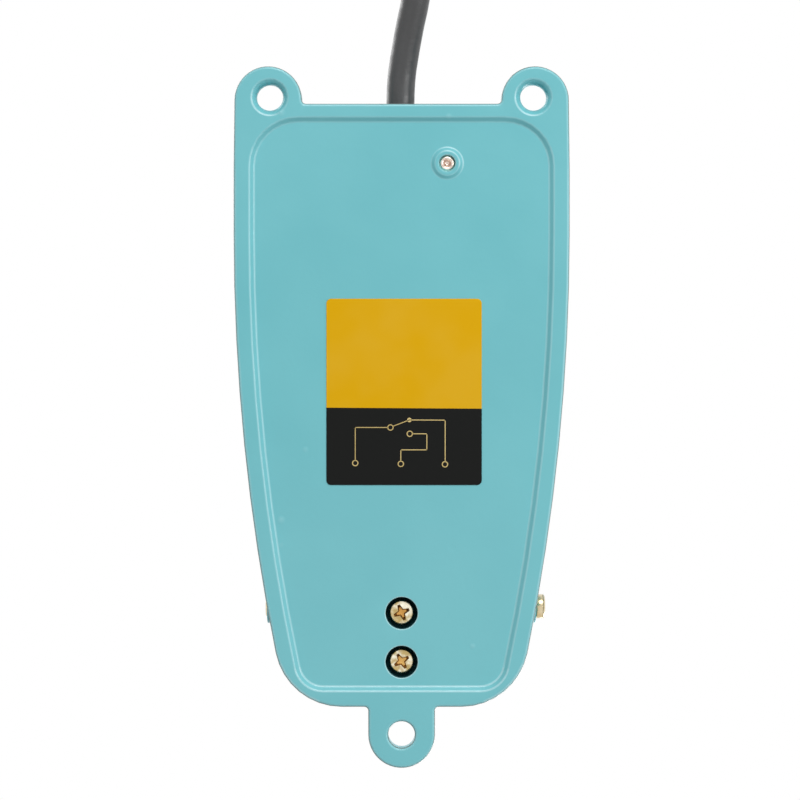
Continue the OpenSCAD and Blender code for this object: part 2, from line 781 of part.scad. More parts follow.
module bracket_screws() {
    turns = [22, 31];
    color(zinc) for (i = [0, 1]) translate([0, screw_ys[i], counterbore_top]) mirror([0, 0, 1])
        pan_screw(2 * m3_r, m3_head_d, 2,
            pad_top + bracket_t + lock_t + m3_nut_t + 0.2 - counterbore_top, turns[i]);
}

module bracket_lock_washers() {
    color(steel) for (y = screw_ys) translate([0, y, pad_top + bracket_t]) difference() {
        ring(m3_r + 0.1, 2.8, lock_t);
        translate([1, -0.3, -1]) cube([3, 0.6, 3]);
    }
}

module bracket_nuts() {
    color(zinc) for (y = screw_ys) translate([0, y, pad_top + bracket_t + lock_t])
        nut(m3_af, m3_nut_t, m3_r + thread_clear);
}

// ---- Snap-action switch --------------------------------------------------------------------

module switch_case() {
    color(phenolic) difference() {
        union() {
            difference() {
                block([-sw_half, cover_x], [sw_y, sw_end], [sw_z, sw_top]);
                block([cavity_x, cover_x + 1], [sw_y + sw_wall, sw_end - sw_wall],
                    [sw_z + sw_wall, sw_top - sw_wall]);
            }
            for (y = hole_ys) translate([0, y, hole_zs]) along_x(-sw_half, cover_x, 2.75);
            translate([0, pivot_y, pivot_z]) along_x(-lug_half, lug_half, 0.95);
            block([-lug_half, lug_half], span(pivot_y, 0.95), [sw_top - eps, pivot_z]);
        }
        for (y = hole_ys) translate([0, y, hole_zs]) along_x(-sw_w, sw_w, m3_r + 0.15);
        translate([0, plunger_y, sw_top - 3]) cylinder(h = 6, r = plunger_r + 0.05);
        translate([0, pivot_y, pivot_z]) along_x(-2, 2, pivot_r + 0.05);
        for (z = tab_zs) block((tab_w / 2 + 0.05) * [-1, 1], [sw_end - sw_wall - 1, sw_end + 1],
            span(z, strip_t / 2 + 0.03));
    }
}

module switch_cover() {
    color(phenolic) difference() {
        block([cover_x, sw_half], [sw_y, sw_end], [sw_z, sw_top]);
        for (y = hole_ys) translate([0, y, hole_zs]) along_x(0, sw_w, m3_r + 0.15);
    }
}

module switch_plunger() {
    shoulder = sw_top - sw_wall - 0.4;
    color("firebrick") translate([0, plunger_y, 0]) {
        translate([0, 0, shoulder]) cylinder(h = plunger_top - shoulder, r = plunger_r);
        translate([0, 0, stem_z]) cylinder(h = shoulder - stem_z + eps, r = stem_r);
    }
}

module switch_lever() {
    inner = lug_half + 0.15;
    color(steel) translate([0, pivot_y, pivot_z]) difference() {
        rotate([lever_angle, 0, 0]) {
            block(lever_w / 2 * [-1, 1], [-1.2, lever_len], run(lever_rise, lever_t));
            for (s = [0, 1]) mirror([s, 0, 0]) {
                along_x(inner, lever_w / 2, 0.75);
                block([inner, lever_w / 2], [-0.75, 0.75], [0, lever_rise + eps]);
            }
        }
        along_x(-lever_w, lever_w, pivot_r + 0.05);
    }
}

module lever_pin() {
    color(steel) translate([0, pivot_y, pivot_z])
        along_x(-lever_w / 2 - 0.3, lever_w / 2 + 0.3, pivot_r);
}

// A terminal's tab, from inside the case's end wall to its outer end
module terminal_tab(i) {
    difference() {
        block(tab_w / 2 * [-1, 1], [sw_end - sw_wall - 2, sw_end + tab_out_len],
            span(tab_zs[i], strip_t / 2));
        translate([0, sw_end + tab_out_len - 2, tab_zs[i] - 1]) cylinder(h = 2, r = 0.6);
    }
}

module open_terminal() {
    z = tab_zs[0];
    color(brass) {
        terminal_tab(0);
        block([-2, 2], [contact_y - 2, sw_end - sw_wall - 1], span(z, strip_t / 2));
        translate([0, contact_y, z]) cylinder(h = rivet_low - 1.2 - z, r = contact_r);
    }
}

module common_terminal() {
    color(brass) {
        terminal_tab(1);
        block([-2, 2], [blade_y + 0.5, sw_end - sw_wall - 1], span(tab_zs[1], strip_t / 2));
    }
}

module closed_terminal() {
    z = tab_zs[2];
    inner = cavity_x + 0.25;
    color(brass) {
        terminal_tab(2);
        block([inner, -2.2], [contact_y - 2, sw_end - sw_wall - 1], span(z, strip_t / 2));
        block([inner, 2], span(contact_y, 2), span(z, strip_t / 2));
        translate([0, contact_y, rivet_high + 0.1]) cylinder(h = z - rivet_high - 0.1, r = contact_r);
    }
}

module contact_blade() {
    color("peru") {
        block([-2, 2], [blade_tip, blade_y + 2], run(blade_z, blade_t));
        translate([0, contact_y, rivet_low]) cylinder(h = rivet_high - rivet_low, r = contact_r);
    }
}

module switch_screws() {
    color(zinc) for (y = hole_ys) translate([-sw_half, y, hole_zs]) rotate([0, -90, 0])
        pan_screw(2 * m3_r, m3_head_d - 0.3, 1.9, sw_w + bracket_t + m3_nut_t + 0.6, 20);
}

module switch_nuts() {
    color(zinc) for (y = hole_ys) translate([bracket_x + bracket_t, y, hole_zs])
        rotate([0, 90, 0]) rotate([0, 0, 30]) nut(m3_af, m3_nut_t, m3_r + thread_clear);
}

// ---- Leads and their receptacles -----------------------------------------------------------

module receptacle(i) {
    z = tab_zs[i];
    w = tab_w / 2 + 0.6;
    difference() {
        block([-w, w], [crimp_start, crimp_end], span(z, 1.2));
        block((tab_w / 2 + 0.05) * [-1, 1], [sw_end, sw_end + tab_out_len + 0.1],
            span(z, strip_t / 2 + 0.05));
    }
    translate([0, 0, z]) difference() {
        along_y(crimp_end - eps, barrel_end, lead_d / 2 + 0.25);
        along_y(lead_start, barrel_end + eps, lead_d / 2 + 0.05);
    }
}

// How far to the side a lead keeps clear of the return spring, at a place along the base
function beside_spring(y) = sqrt(max(0, pow(spring_room, 2) - pow(y - spring_y, 2)));

module lead(i) {
    low = tab_zs[i];
    high = cable_z + (i - 1) * lead_step;
    n = len(lead_plan) - 1;
    way = (jacket_end_y - lead_start) / 100;
    tube([for (k = [0:n]) let (y = lead_start + lead_plan[k][1] * way)
        [max(lead_plan[k][0], beside_spring(y)), y, low + lead_fall[k] * (high - low)]],
        lead_d / 2, 8, [0, 1, 0], [0, 1, 0]);
}

module open_receptacle() { color("silver") receptacle(0); }
module common_receptacle() { color("silver") receptacle(1); }
module closed_receptacle() { color("silver") receptacle(2); }
module red_lead() { color("red") lead(0); }
module white_lead() { color("white") lead(1); }
module black_lead() { color(black) lead(2); }

// ---- Cable ---------------------------------------------------------------------------------

module cable_grommet() {
    color(black) translate([cable_x, 0, cable_z]) difference() {
        union() {
            along_y(wall_out_y - wall_t - grommet_gap, wall_out_y + grommet_gap, grommet_r);
            for (y = [wall_out_y - wall_t - grommet_gap - grommet_flange_t,
                wall_out_y + grommet_gap])
                along_y(y, y + grommet_flange_t, grommet_flange_r);
        }
        along_y(wall_out_y - 2 * grommet_r, wall_out_y + grommet_r, cable_r + grommet_gap);
    }
}

module cable_jacket() {
    color(black) translate([cable_x, 0, cable_z]) along_y(jacket_end_y, cable_exit_y, cable_r);
}

module cable_clamp() {
    y = span(clamp_y, strap_w / 2);
    color(steel) difference() {
        union() {
            translate([cable_x, 0, cable_z]) along_y(y[0], y[1], ring_r);
            block([-clamp_x - 4.4, cable_x], y, run(clamp_boss_top, strap_t));
            block([-clamp_x - 4.4, cable_x - cable_r + 0.6], y, run(clamp_boss_top + strap_t, strap_t));
        }
        translate([cable_x, 0, cable_z]) along_y(y[0] - 1, y[1] + 1, cable_r + grommet_gap);
        translate([-clamp_x, clamp_y, 0]) cylinder(h = cable_z, r = clamp_screw_d / 2 + 0.2);
    }
}

module clamp_screw() {
    seat = clamp_boss_top + 2 * strap_t;
    tip_z = recess_d * 0.5;
    color(steel) translate([-clamp_x, clamp_y, 0]) difference() {
        translate([0, 0, seat])
            pan_screw(clamp_screw_d, 7.6, 2.6, seat - tip_z - clamp_screw_d * 0.12, 45);
        translate([0, 0, tip_z - eps]) cylinder(h = 0.9, r1 = 1.1, r2 = 0.4);
    }
}

module supply_cable() {
    path = concat([[cable_x, cable_exit_y, cable_z]],
        [for (i = [1:len(cable_route) - 1]) cable_route[i]]);
    color(black) tube(path, cable_r, 12, [0, 1, 0], [0, 1, 0]);
}

module cable_coil() {
    color(black) translate([coil_x, coil_y, 0]) rotate_extrude(convexity = 4)
        translate([coil_in, coil_z]) square([coil_out - coil_in, coil_top - coil_z]);
}

module coil_tie() {
    color("ivory") translate([coil_x, coil_y, 0]) rotate([0, 0, tie_angle]) difference() {
        block([coil_in - tie_gap - tie_t, coil_out + tie_gap + tie_t], tie_w / 2 * [-1, 1],
            [0, coil_top + tie_t]);
        block([coil_in - tie_gap, coil_out + tie_gap], tie_w * [-1, 1], [tie_t, coil_top]);
    }
}

module cable_ends() {
    colors = ["red", "white", "black"];
    for (i = [0:2]) color(colors[i]) tube(
        [for (p = ends_plan) [coil_x, coil_y, 0] + [p[0] * (1 - 0.085 * i), p[1] * (1 - 0.085 * i),
            lead_d / 2 + tie_t]], lead_d / 2);
}

base_casting();
rating_label();
pedal_casting();
tread_pad();
hinge_pin();
pin_clip();
hinge_washers();
return_spring();
bump_stops();
switch_bracket();
bracket_screws();
bracket_lock_washers();
bracket_nuts();
switch_case();
switch_cover();
switch_plunger();
switch_lever();
lever_pin();
open_terminal();
common_terminal();
closed_terminal();
contact_blade();
switch_screws();
switch_nuts();
open_receptacle();
common_receptacle();
closed_receptacle();
red_lead();
white_lead();
black_lead();
striker_screw();
striker_nut();
cable_grommet();
cable_clamp();
clamp_screw();
cable_jacket();
supply_cable();
cable_coil();
coil_tie();
cable_ends();
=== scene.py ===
"""Industrial foot switch: a cast base, a hinged cast pedal and a snap-action switch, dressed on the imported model.

Metres throughout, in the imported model's frame: +Z up, +Y towards the toe end, where the cable leaves.
"""

import logging
import math
from dataclasses import dataclass, field
from enum import Enum
from typing import Callable, Optional, Sequence, Union

import bmesh
import bpy
from mathutils import Matrix, Vector
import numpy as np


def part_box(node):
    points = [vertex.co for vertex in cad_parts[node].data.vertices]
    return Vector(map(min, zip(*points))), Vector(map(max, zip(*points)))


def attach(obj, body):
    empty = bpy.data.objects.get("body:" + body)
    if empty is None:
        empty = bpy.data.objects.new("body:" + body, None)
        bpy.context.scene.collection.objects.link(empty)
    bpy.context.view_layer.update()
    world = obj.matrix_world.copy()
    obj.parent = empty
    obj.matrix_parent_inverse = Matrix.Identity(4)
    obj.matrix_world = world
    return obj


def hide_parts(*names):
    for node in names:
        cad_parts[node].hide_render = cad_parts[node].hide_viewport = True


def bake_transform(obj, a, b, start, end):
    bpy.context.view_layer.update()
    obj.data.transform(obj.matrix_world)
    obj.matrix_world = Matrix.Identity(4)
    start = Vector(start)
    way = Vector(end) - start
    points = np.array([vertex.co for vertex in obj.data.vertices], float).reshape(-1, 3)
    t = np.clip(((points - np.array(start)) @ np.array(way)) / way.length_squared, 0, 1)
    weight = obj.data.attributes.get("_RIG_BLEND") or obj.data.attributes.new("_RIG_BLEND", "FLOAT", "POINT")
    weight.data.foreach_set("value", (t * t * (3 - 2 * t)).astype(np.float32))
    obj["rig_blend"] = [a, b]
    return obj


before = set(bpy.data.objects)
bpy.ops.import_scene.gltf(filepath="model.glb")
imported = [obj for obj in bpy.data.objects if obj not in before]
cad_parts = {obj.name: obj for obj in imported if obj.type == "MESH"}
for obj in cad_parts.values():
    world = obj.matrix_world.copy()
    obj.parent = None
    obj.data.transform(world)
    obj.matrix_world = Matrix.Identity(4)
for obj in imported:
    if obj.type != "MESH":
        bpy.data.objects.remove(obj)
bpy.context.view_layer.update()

MM = 0.001

Rgb = tuple[int, int, int]
Color = tuple[float, float, float, float]
Point = tuple[float, float, float]
Socket = bpy.types.NodeSocket
Value = Union[float, Socket]
Tone = Union[Rgb, Socket]

# The share of the edge mask where a rounding meets the face beside it
OUTER_EDGE = 0.35
# Y and Z of the pedal's hinge
HINGE = (-47.7 * MM, 17.0 * MM)
# Y of the two screws that hold the switch bracket in the base
SCREW_YS = (-48.2 * MM, -60.2 * MM)

log = logging.getLogger("foot_switch")


class Body(Enum):
    """The bodies that the pieces ride on."""

    BASE = "base"
    PEDAL = "pedal"
    LEVER = "lever"
    PLUNGER = "plunger"
    BLADE = "blade"


class Axis(Enum):
    """The direction in which a turned part's own axis points."""

    UP = (0.0, 0.0, 1.0)
    DOWN = (0.0, 0.0, -1.0)
    LEFT = (-1.0, 0.0, 0.0)


def linear_step(value: float, low: float, high: float) -> float:
    """Returns how far a value lies between two others, held between 0 and 1."""
    return max(0.0, min(1.0, (value - low) / (high - low)))


def linear(red: int, green: int, blue: int) -> Color:
    """Turns a display colour into the linear colour that a shader takes.

    Args:
        red: Red, 0 to 255.
        green: Green, 0 to 255.
        blue: Blue, 0 to 255.

    Returns:
        The linear colour with an alpha of 1.
    """
    parts = [c / 255 for c in (red, green, blue)]
    out = [c / 12.92 if c <= 0.04045 else ((c + 0.055) / 1.055) ** 2.4 for c in parts]
    return (out[0], out[1], out[2], 1.0)


# ---- Shader effects that several finishes share ----


class Effect:
    """A shader node group, built once and placed in each material with its own values."""

    title = "effect"
    inputs: dict[str, float] = {}
    outputs: tuple[str, ...] = ("Value",)
    _made: dict[str, bpy.types.NodeTree] = {}

    def __init__(self) -> None:
        """Starts an empty group with this effect's sockets."""
        self.tree = bpy.data.node_groups.new(self.title, "ShaderNodeTree")
        face = self.tree.interface
        face.new_socket(name="Place", in_out="INPUT", socket_type="NodeSocketVector")
        for name, start in self.inputs.items():
            face.new_socket(name=name, in_out="INPUT", socket_type="NodeSocketFloat").default_value = start
        for name in self.outputs:
            face.new_socket(name=name, in_out="OUTPUT", socket_type="NodeSocketFloat")
        self.given = self.tree.nodes.new("NodeGroupInput").outputs
        self.result = self.tree.nodes.new("NodeGroupOutput").inputs

    @classmethod
    def shared(cls) -> bpy.types.NodeTree:
        """Returns the group, which is built at its first use."""
        if cls.title not in Effect._made:
            effect = cls()
            effect.build()
            Effect._made[cls.title] = effect.tree
        return Effect._made[cls.title]

    def build(self) -> None:
        """Adds the effect's own nodes."""
        raise NotImplementedError

    def add(self, kind: str, **settings: object) -> bpy.types.Node:
        """Adds a node.

        Args:
            kind: The node's type.
            **settings: Values for the node's own properties.

        Returns:
            The new node.
        """
        node = self.tree.nodes.new(kind)
        for name, value in settings.items():
            setattr(node, name, value)
        return node

    def join(self, value: object, socket: Socket) -> None:
        """Gives a socket a value, or links it where the value is another socket."""
        if isinstance(value, bpy.types.NodeSocket):
            self.tree.links.new(value, socket)
        else:
            socket.default_value = value

    def math(self, kind: str, a: Value, b: Value = 0.0, clamp: bool = False) -> Socket:
        """Joins two numbers with a math node.

        Args:
            kind: The operation.
            a: The first number.
            b: The second number.
            clamp: Whether the result is held between 0 and 1.

        Returns:
            The result's socket.
        """
        node = self.add("ShaderNodeMath", operation=kind, use_clamp=clamp)
        self.join(a, node.inputs[0])
        self.join(b, node.inputs[1])
        return node.outputs[0]

    def noise(self, place: Socket, scale: Value, detail: Value = 3.0, rough: float = 0.55) -> Socket:
        """Adds a noise texture.

        Args:
            place: Where the noise is read.
            scale: Its scale.
            detail: Its octaves.
            rough: How strong the finer octaves are.

        Returns:
            The socket of its factor.
        """
        node = self.add("ShaderNodeTexNoise")
        self.join(place, node.inputs["Vector"])
        self.join(scale, node.inputs["Scale"])
        self.join(detail, node.inputs["Detail"])
        node.inputs["Roughness"].default_value = rough
        return node.outputs["Fac"]

    def step(self, value: Socket, low: Value, high: Value, start: float = 0.0, end: float = 1.0) -> Socket:
        """Maps a value smoothly from one range to another.

        Args:
            value: The value.
            low: Where the range starts.
            high: Where the range ends.
            start: The result at the start.
            end: The result at the end.

        Returns:
            The result's socket.
        """
        node = self.add("ShaderNodeMapRange", interpolation_type="SMOOTHSTEP")
        self.join(value, node.inputs["Value"])
        self.join(low, node.inputs["From Min"])
        self.join(high, node.inputs["From Max"])
        node.inputs["To Min"].default_value = start
        node.inputs["To Max"].default_value = end
        return node.outputs["Result"]


class Grain(Effect):
    """Fine uneven grain, with a slower cloud under it."""

    title = "grain"
    inputs = {"Scale": 400.0, "Cloud": 20.0}
    outputs = ("Value", "Cloud")

    def build(self) -> None:
        """Adds the two noises."""
        fine = self.noise(self.given["Place"], self.given["Scale"], 4.0, 0.6)
        cloud = self.noise(self.given["Place"], self.given["Cloud"], 2.0)
        self.join(self.step(fine, 0.3, 0.7), self.result["Value"])
        self.join(self.step(cloud, 0.35, 0.65), self.result["Cloud"])


class Pits(Effect):
    """Scattered small round spots, a share of the cells of a cell pattern."""

    title = "pits"
    inputs = {"Scale": 120.0, "Share": 0.1, "Size": 0.15}

    def build(self) -> None:
        """Adds the cells and keeps some of them."""
        cells = self.add("ShaderNodeTexVoronoi", feature="F1")
        self.join(self.given["Place"], cells.inputs["Vector"])
        self.join(self.given["Scale"], cells.inputs["Scale"])
        split = self.add("ShaderNodeSeparateColor")
        self.join(cells.outputs["Color"], split.inputs[0])
        kept = self.math("LESS_THAN", split.outputs[0], self.given["Share"])
        size = self.math("MULTIPLY", self.given["Size"], self.math("ADD", split.outputs[1], 0.4))
        spot = self.math("SUBTRACT", 1.0, self.math("DIVIDE", cells.outputs["Distance"], size), clamp=True)
        self.join(self.math("MULTIPLY", spot, kept), self.result["Value"])


class EdgeWear(Effect):
    """Broken wear along the edges that a piece's edge attribute marks."""

    title = "edge_wear"
    inputs = {"Edge": 0.0, "Scale": 90.0, "Amount": 0.5}

    def build(self) -> None:
        """Breaks the edge mask with a noise."""
        broken = self.noise(self.given["Place"], self.given["Scale"], 5.0, 0.65)
        bar = self.math("SUBTRACT", 1.0, self.given["Amount"])
        worn = self.step(broken, self.math("SUBTRACT", bar, 0.12), self.math("ADD", bar, 0.1))
        self.join(self.math("MULTIPLY", worn, self.step(self.given["Edge"], 0.25, 0.9)), self.result["Value"])


class Scratches(Effect):
    """Fine scratches in two directions."""

    title = "scratches"
    inputs = {"Scale": 300.0, "Amount": 0.3}

    def build(self) -> None:
        """Adds two stretched noises and keeps their crests."""
        marks = []
        for turn, stretch in ((0.5, (1.0, 0.04, 1.0)), (-0.9, (0.05, 1.0, 0.6))):
            aim = self.add("ShaderNodeMapping", vector_type="POINT")
            self.join(self.given["Place"], aim.inputs["Vector"])
            aim.inputs["Rotation"].default_value = (0.3, 0.2, turn)
            aim.inputs["Scale"].default_value = stretch
            marks.append(self.noise(aim.outputs[0], self.given["Scale"], 2.0))
        both = self.math("MAXIMUM", marks[0], marks[1])
        bar = self.math("SUBTRACT", 0.85, self.math("MULTIPLY", self.given["Amount"], 0.25))
        self.join(self.step(both, bar, self.math("ADD", bar, 0.08)), self.result["Value"])


class Ridges(Effect):
    """Even fine ridges across one axis, as bare strands have."""

    title = "ridges"
    inputs = {"Scale": 1000.0, "Wander": 0.5}

    def build(self) -> None:
        """Adds one band texture along the given direction."""
        bands = self.add("ShaderNodeTexWave", wave_type="BANDS", bands_direction="X")
        self.join(self.given["Place"], bands.inputs["Vector"])
        self.join(self.given["Scale"], bands.inputs["Scale"])
        self.join(self.given["Wander"], bands.inputs["Distortion"])
        self.join(bands.outputs["Fac"], self.result["Value"])


class Shader(Effect):
    """One material: a Principled shader, and short calls that add and join its nodes."""

    def __init__(self, name: str) -> None:
        """Starts the material.

        Args:
            name: The material's name.
        """
        self.material = bpy.data.materials.new(name)
        self.material.use_nodes = True
        self.tree = self.material.node_tree
        self.tree.nodes.clear()
        self.surface = self.add("ShaderNodeBsdfPrincipled")
        output = self.add("ShaderNodeOutputMaterial")
        self.join(self.surface.outputs["BSDF"], output.inputs["Surface"])
        self.place = self.add("ShaderNodeTexCoord").outputs["Object"]

    def plain(self, **values: float) -> None:
        """Sets plain numbers on the shader, with underscores for spaces in the names."""
        for name, value in values.items():
            self.surface.inputs[name.replace("_", " ")].default_value = value

    def mask(self, name: str = "edge") -> Socket:
        """Returns a mask that the piece's mesh carries."""
        return self.add("ShaderNodeAttribute", attribute_name=name).outputs["Fac"]

    def use(self, effect: type[Effect], place: Optional[Socket] = None, **values: Value) -> bpy.types.Node:
        """Places an effect's group.

        Args:
            effect: The effect.
            place: Where it is read, if not at the object's own coordinates.
            **values: Its inputs.

        Returns:
            The group node.
        """
        node = self.add("ShaderNodeGroup", node_tree=effect.shared())
        self.join(place or self.place, node.inputs["Place"])
        for name, value in values.items():
            self.join(value, node.inputs[name])
        return node

    def mix(self, mask: Value, a: Tone, b: Tone) -> Socket:
        """Mixes two colours.

        Args:
            mask: 0 for the first colour, 1 for the second.
            a: The first display colour, or its socket.
            b: The second display colour, or its socket.

        Returns:
            The mixed colour's socket.
        """
        node = self.add("ShaderNodeMix", data_type="RGBA")
        self.join(mask, node.inputs[0])
        for tone, socket in ((a, node.inputs[6]), (b, node.inputs[7])):
            self.join(linear(*tone) if isinstance(tone, tuple) else tone, socket)
        return node.outputs[2]

    def over(self, tone: Tone, mask: Socket, share: float, upper: Rgb) -> Socket:
        """Lays a colour over another, where a mask says and up to a share; returns the new colour's socket."""
        return self.mix(self.scaled(mask, share), tone, upper)

    def scaled(self, mask: Socket, amount: float) -> Socket:
        """Returns a mask times a number."""
        return self.math("MULTIPLY", mask, amount)

    def span(self, mask: Socket, low: float, high: float) -> Socket:
        """Returns a mask mapped from 0 to 1 onto a range."""
        return self.step(mask, 0.0, 1.0, low, high)

    def color(self, socket: object) -> None:
        """Gives the shader its base colour."""
        self.join(socket, self.surface.inputs["Base Color"])

    def rough(self, socket: Value) -> None:
        """Gives the shader its roughness."""
        self.join(socket, self.surface.inputs["Roughness"])

    def relief(self, height: Socket, depth: float, strength: float = 1.0) -> None:
        """Adds a bump on top of those already there.

        Args:
            height: The height, from 0 to 1.
            depth: What a height of 1 stands for, in metres.
            strength: The bump's strength.
        """
        bump = self.add("ShaderNodeBump")
        bump.inputs["Strength"].default_value = strength
        bump.inputs["Distance"].default_value = depth
        self.join(height, bump.inputs["Height"])
        normal = self.surface.inputs["Normal"]
        if normal.is_linked:
            self.tree.links.new(normal.links[0].from_socket, bump.inputs["Normal"])
        self.join(bump.outputs["Normal"], normal)


# ---- Finishes ----


@dataclass(frozen=True)
class Enamel:
    """Satin baked enamel on a sand-cast surface, with small pits, its edges lighter partly as thinned enamel and
    partly as a painted highlight, with painted highlights on the crests of the underside's edges, a grey painted
    shade on the outline's outer rounding and painted shade in the counterbores.
    """

    color: Rgb = (116, 197, 205)
    # Pale enamel tone, for the cloud, the pits and the edges; on the edges it is partly thinned enamel and partly a
    # painted highlight.
    thin_paint_and_highlight: Rgb = (150, 212, 219)
    # Painted highlight: the pale colour of the crests of the underside's edges on the sides that face the lamps.
    painted_highlight: Rgb = (176, 224, 230)
    deep: Rgb = (98, 184, 193)
    bare: Rgb = (168, 178, 172)
    # Painted shade: the grey of the steep outer face of the outline's rounding, seen edge-on.
    line: Rgb = (128, 138, 132)
    # Painted shade: the near-black teal that stands for the shade deep in the counterbores.
    bore_shade: Rgb = (28, 66, 71)
    wear: float = 0.26

    def make(self) -> bpy.types.Material:
        """Returns the material."""
        s = Shader("teal_enamel")
        s.plain(Coat_Roughness=0.16)
        grain = s.use(Grain, Scale=260.0, Cloud=26.0)
        broad = s.use(Grain, Scale=900.0, Cloud=7.0)
        pits = s.use(Pits, Scale=170.0, Share=0.05, Size=0.17)
        knots = s.use(Pits, Scale=75.0, Share=0.07, Size=0.09)
        tone = s.over(self.color, grain.outputs["Cloud"], 0.32, self.deep)
        tone = s.over(tone, broad.outputs["Cloud"], 0.16, self.thin_paint_and_highlight)
        tone = s.over(tone, pits.outputs["Value"], 0.55, self.thin_paint_and_highlight)
        edge = s.mask()
        # Lighter edges: partly enamel thinned on the roundings, partly a painted highlight along them.
        tone = s.over(tone, s.step(edge, 0.2, 0.9), 0.5, self.thin_paint_and_highlight)
        worn = s.use(EdgeWear, Edge=edge, Scale=160.0, Amount=self.wear)
        tone = s.over(tone, worn.outputs["Value"], 0.45, self.bare)
        # Painted shade: grey on the steep outer face of the outline's rounding.
        rim = s.mask("rim")
        tone = s.over(tone, rim, 0.85, self.line)
        # Painted shade in the counterbores: near-black colour, with the specular and the coat taken away and the
        # roughness raised, so they stay as dark as shaded hollows.
        bore_shade = s.mask("bore_shade")
        # Painted highlight: pale crests on the underside's edges, set by place and stronger on the sides that face
        # the lamps.
        painted_highlight = s.mask("painted_highlight")
        tone = s.over(tone, painted_highlight, 0.75, self.painted_highlight)
        tone = s.over(tone, bore_shade, 0.96, self.bore_shade)
        s.color(tone)
        s.join(s.span(bore_shade, 0.32, 0.02), s.surface.inputs["Specular IOR Level"])
        s.join(s.span(bore_shade, 0.3, 0.0), s.surface.inputs["Coat Weight"])
        satin = s.span(grain.outputs["Value"], 0.32, 0.44)
        s.rough(s.math("MAXIMUM", satin, s.scaled(bore_shade, 0.9)))
        peel = s.noise(s.place, 420.0, 2.0)
        s.relief(peel, 0.00006, 0.55)
        swell = s.noise(s.place, 38.0, 2.0)
        s.relief(swell, 0.0007, 0.35)
        s.relief(pits.outputs["Value"], 0.00012, 0.7)
        s.relief(s.scaled(knots.outputs["Value"], -1.0), 0.0001, 0.6)
        return s.material


@dataclass(frozen=True)
class Rubber:
    """Moulded black rubber with a fine grain, greyed a little where it is rubbed."""

    name: str = "tread_rubber"
    color: Rgb = (38, 38, 40)
    rubbed: Rgb = (92, 92, 94)
    grain: float = 900.0
    depth: float = 0.00005

    def make(self) -> bpy.types.Material:
        """Returns the material."""
        s = Shader(self.name)
        s.plain(Specular_IOR_Level=0.35)
        grain = s.use(Grain, Scale=self.grain, Cloud=30.0)
        edge = s.mask()
        tone = s.over(self.color, grain.outputs["Cloud"], 0.3, self.rubbed)
        worn = s.use(EdgeWear, Edge=edge, Scale=200.0, Amount=0.45)
        tone = s.over(tone, worn.outputs["Value"], 0.45, self.rubbed)
        s.color(tone)
        s.rough(s.span(grain.outputs["Value"], 0.6, 0.82))
        s.relief(grain.outputs["Value"], self.depth, 0.6)
        return s.material


@dataclass(frozen=True)
class Plated:
    """Plated or bright metal with drawing marks, scratches and a cloudy second tone."""

    name: str
    color: Rgb
    tint: Rgb
    dull: Rgb
    rough: float = 0.24
    marks: float = 0.35
    cloud: float = 140.0
    metal: float = 1.0

    def make(self) -> bpy.types.Material:
        """Returns the material."""
        s = Shader(self.name)
        s.plain(Metallic=self.metal)
        grain = s.use(Grain, Scale=1500.0, Cloud=self.cloud)
        lines = s.use(Scratches, Scale=900.0, Amount=self.marks)
        edge = s.mask()
        tone = s.mix(grain.outputs["Cloud"], self.color, self.tint)
        tone = s.over(tone, grain.outputs["Value"], 0.22, self.dull)
        tone = s.over(tone, s.step(edge, 0.2, 0.9), 0.35, self.color)
        s.color(tone)
        uneven = s.math("ADD", s.scaled(lines.outputs["Value"], 0.5), s.scaled(grain.outputs["Value"], 0.5))
        s.rough(s.span(uneven, self.rough, self.rough + 0.2))
        s.relief(grain.outputs["Value"], 0.00002, 0.35)
        s.relief(lines.outputs["Value"], 0.00003, 0.3)
        return s.material


@dataclass(frozen=True)
class PrintedFilm:
    """A printed film in two plain fields, with a faint print screen and a soft gloss."""

    upper: Rgb = (228, 174, 8)
    lower: Rgb = (21, 22, 21)
    scuff: Rgb = (232, 190, 70)
    parting: float = 2.2 * MM
    slope: float = -0.0066

    def make(self) -> bpy.types.Material:
        """Returns the material."""
        s = Shader("printed_film")
        s.plain(Specular_IOR_Level=0.1)
        split = s.add("ShaderNodeSeparateXYZ")
        s.join(s.place, split.inputs[0])
        line = s.math("ADD", split.outputs["Y"], s.scaled(split.outputs["X"], self.slope))
        field_mask = s.step(line, self.parting - 0.03 * MM, self.parting + 0.03 * MM)
        grain = s.use(Grain, Scale=1200.0, Cloud=60.0)
        upper = s.over(self.upper, grain.outputs["Cloud"], 0.2, self.scuff)
        tone = s.mix(field_mask, self.lower, upper)
        marks = s.use(Scratches, Scale=420.0, Amount=0.25)
        tone = s.over(tone, marks.outputs["Value"], 0.07, self.scuff)
        s.color(tone)
        s.rough(s.span(grain.outputs["Value"], 0.32, 0.44))
        s.relief(grain.outputs["Value"], 0.00001, 0.3)
        return s.material


@dataclass(frozen=True)
class Moulding:
    """Moulded plastic: a base tone, a cloud of a second one, a fine grain and soft edges."""

    name: str
    color: Rgb
    second: Rgb
    rough: float = 0.45
    grain: float = 700.0
    depth: float = 0.00003
    gloss: float = 0.5
    through: float = 0.0

    def make(self) -> bpy.types.Material:
        """Returns the material."""
        s = Shader(self.name)
        s.plain(Specular_IOR_Level=self.gloss, Subsurface_Weight=self.through, Subsurface_Scale=0.001)
        grain = s.use(Grain, Scale=self.grain, Cloud=70.0)
        edge = s.mask()
        tone = s.over(self.color, grain.outputs["Cloud"], 0.5, self.second)
        tone = s.over(tone, s.step(edge, 0.2, 0.9), 0.25, self.second)
        s.color(tone)
        s.rough(s.span(grain.outputs["Value"], self.rough, self.rough + 0.14))
        s.relief(grain.outputs["Value"], self.depth, 0.6)
        return s.material


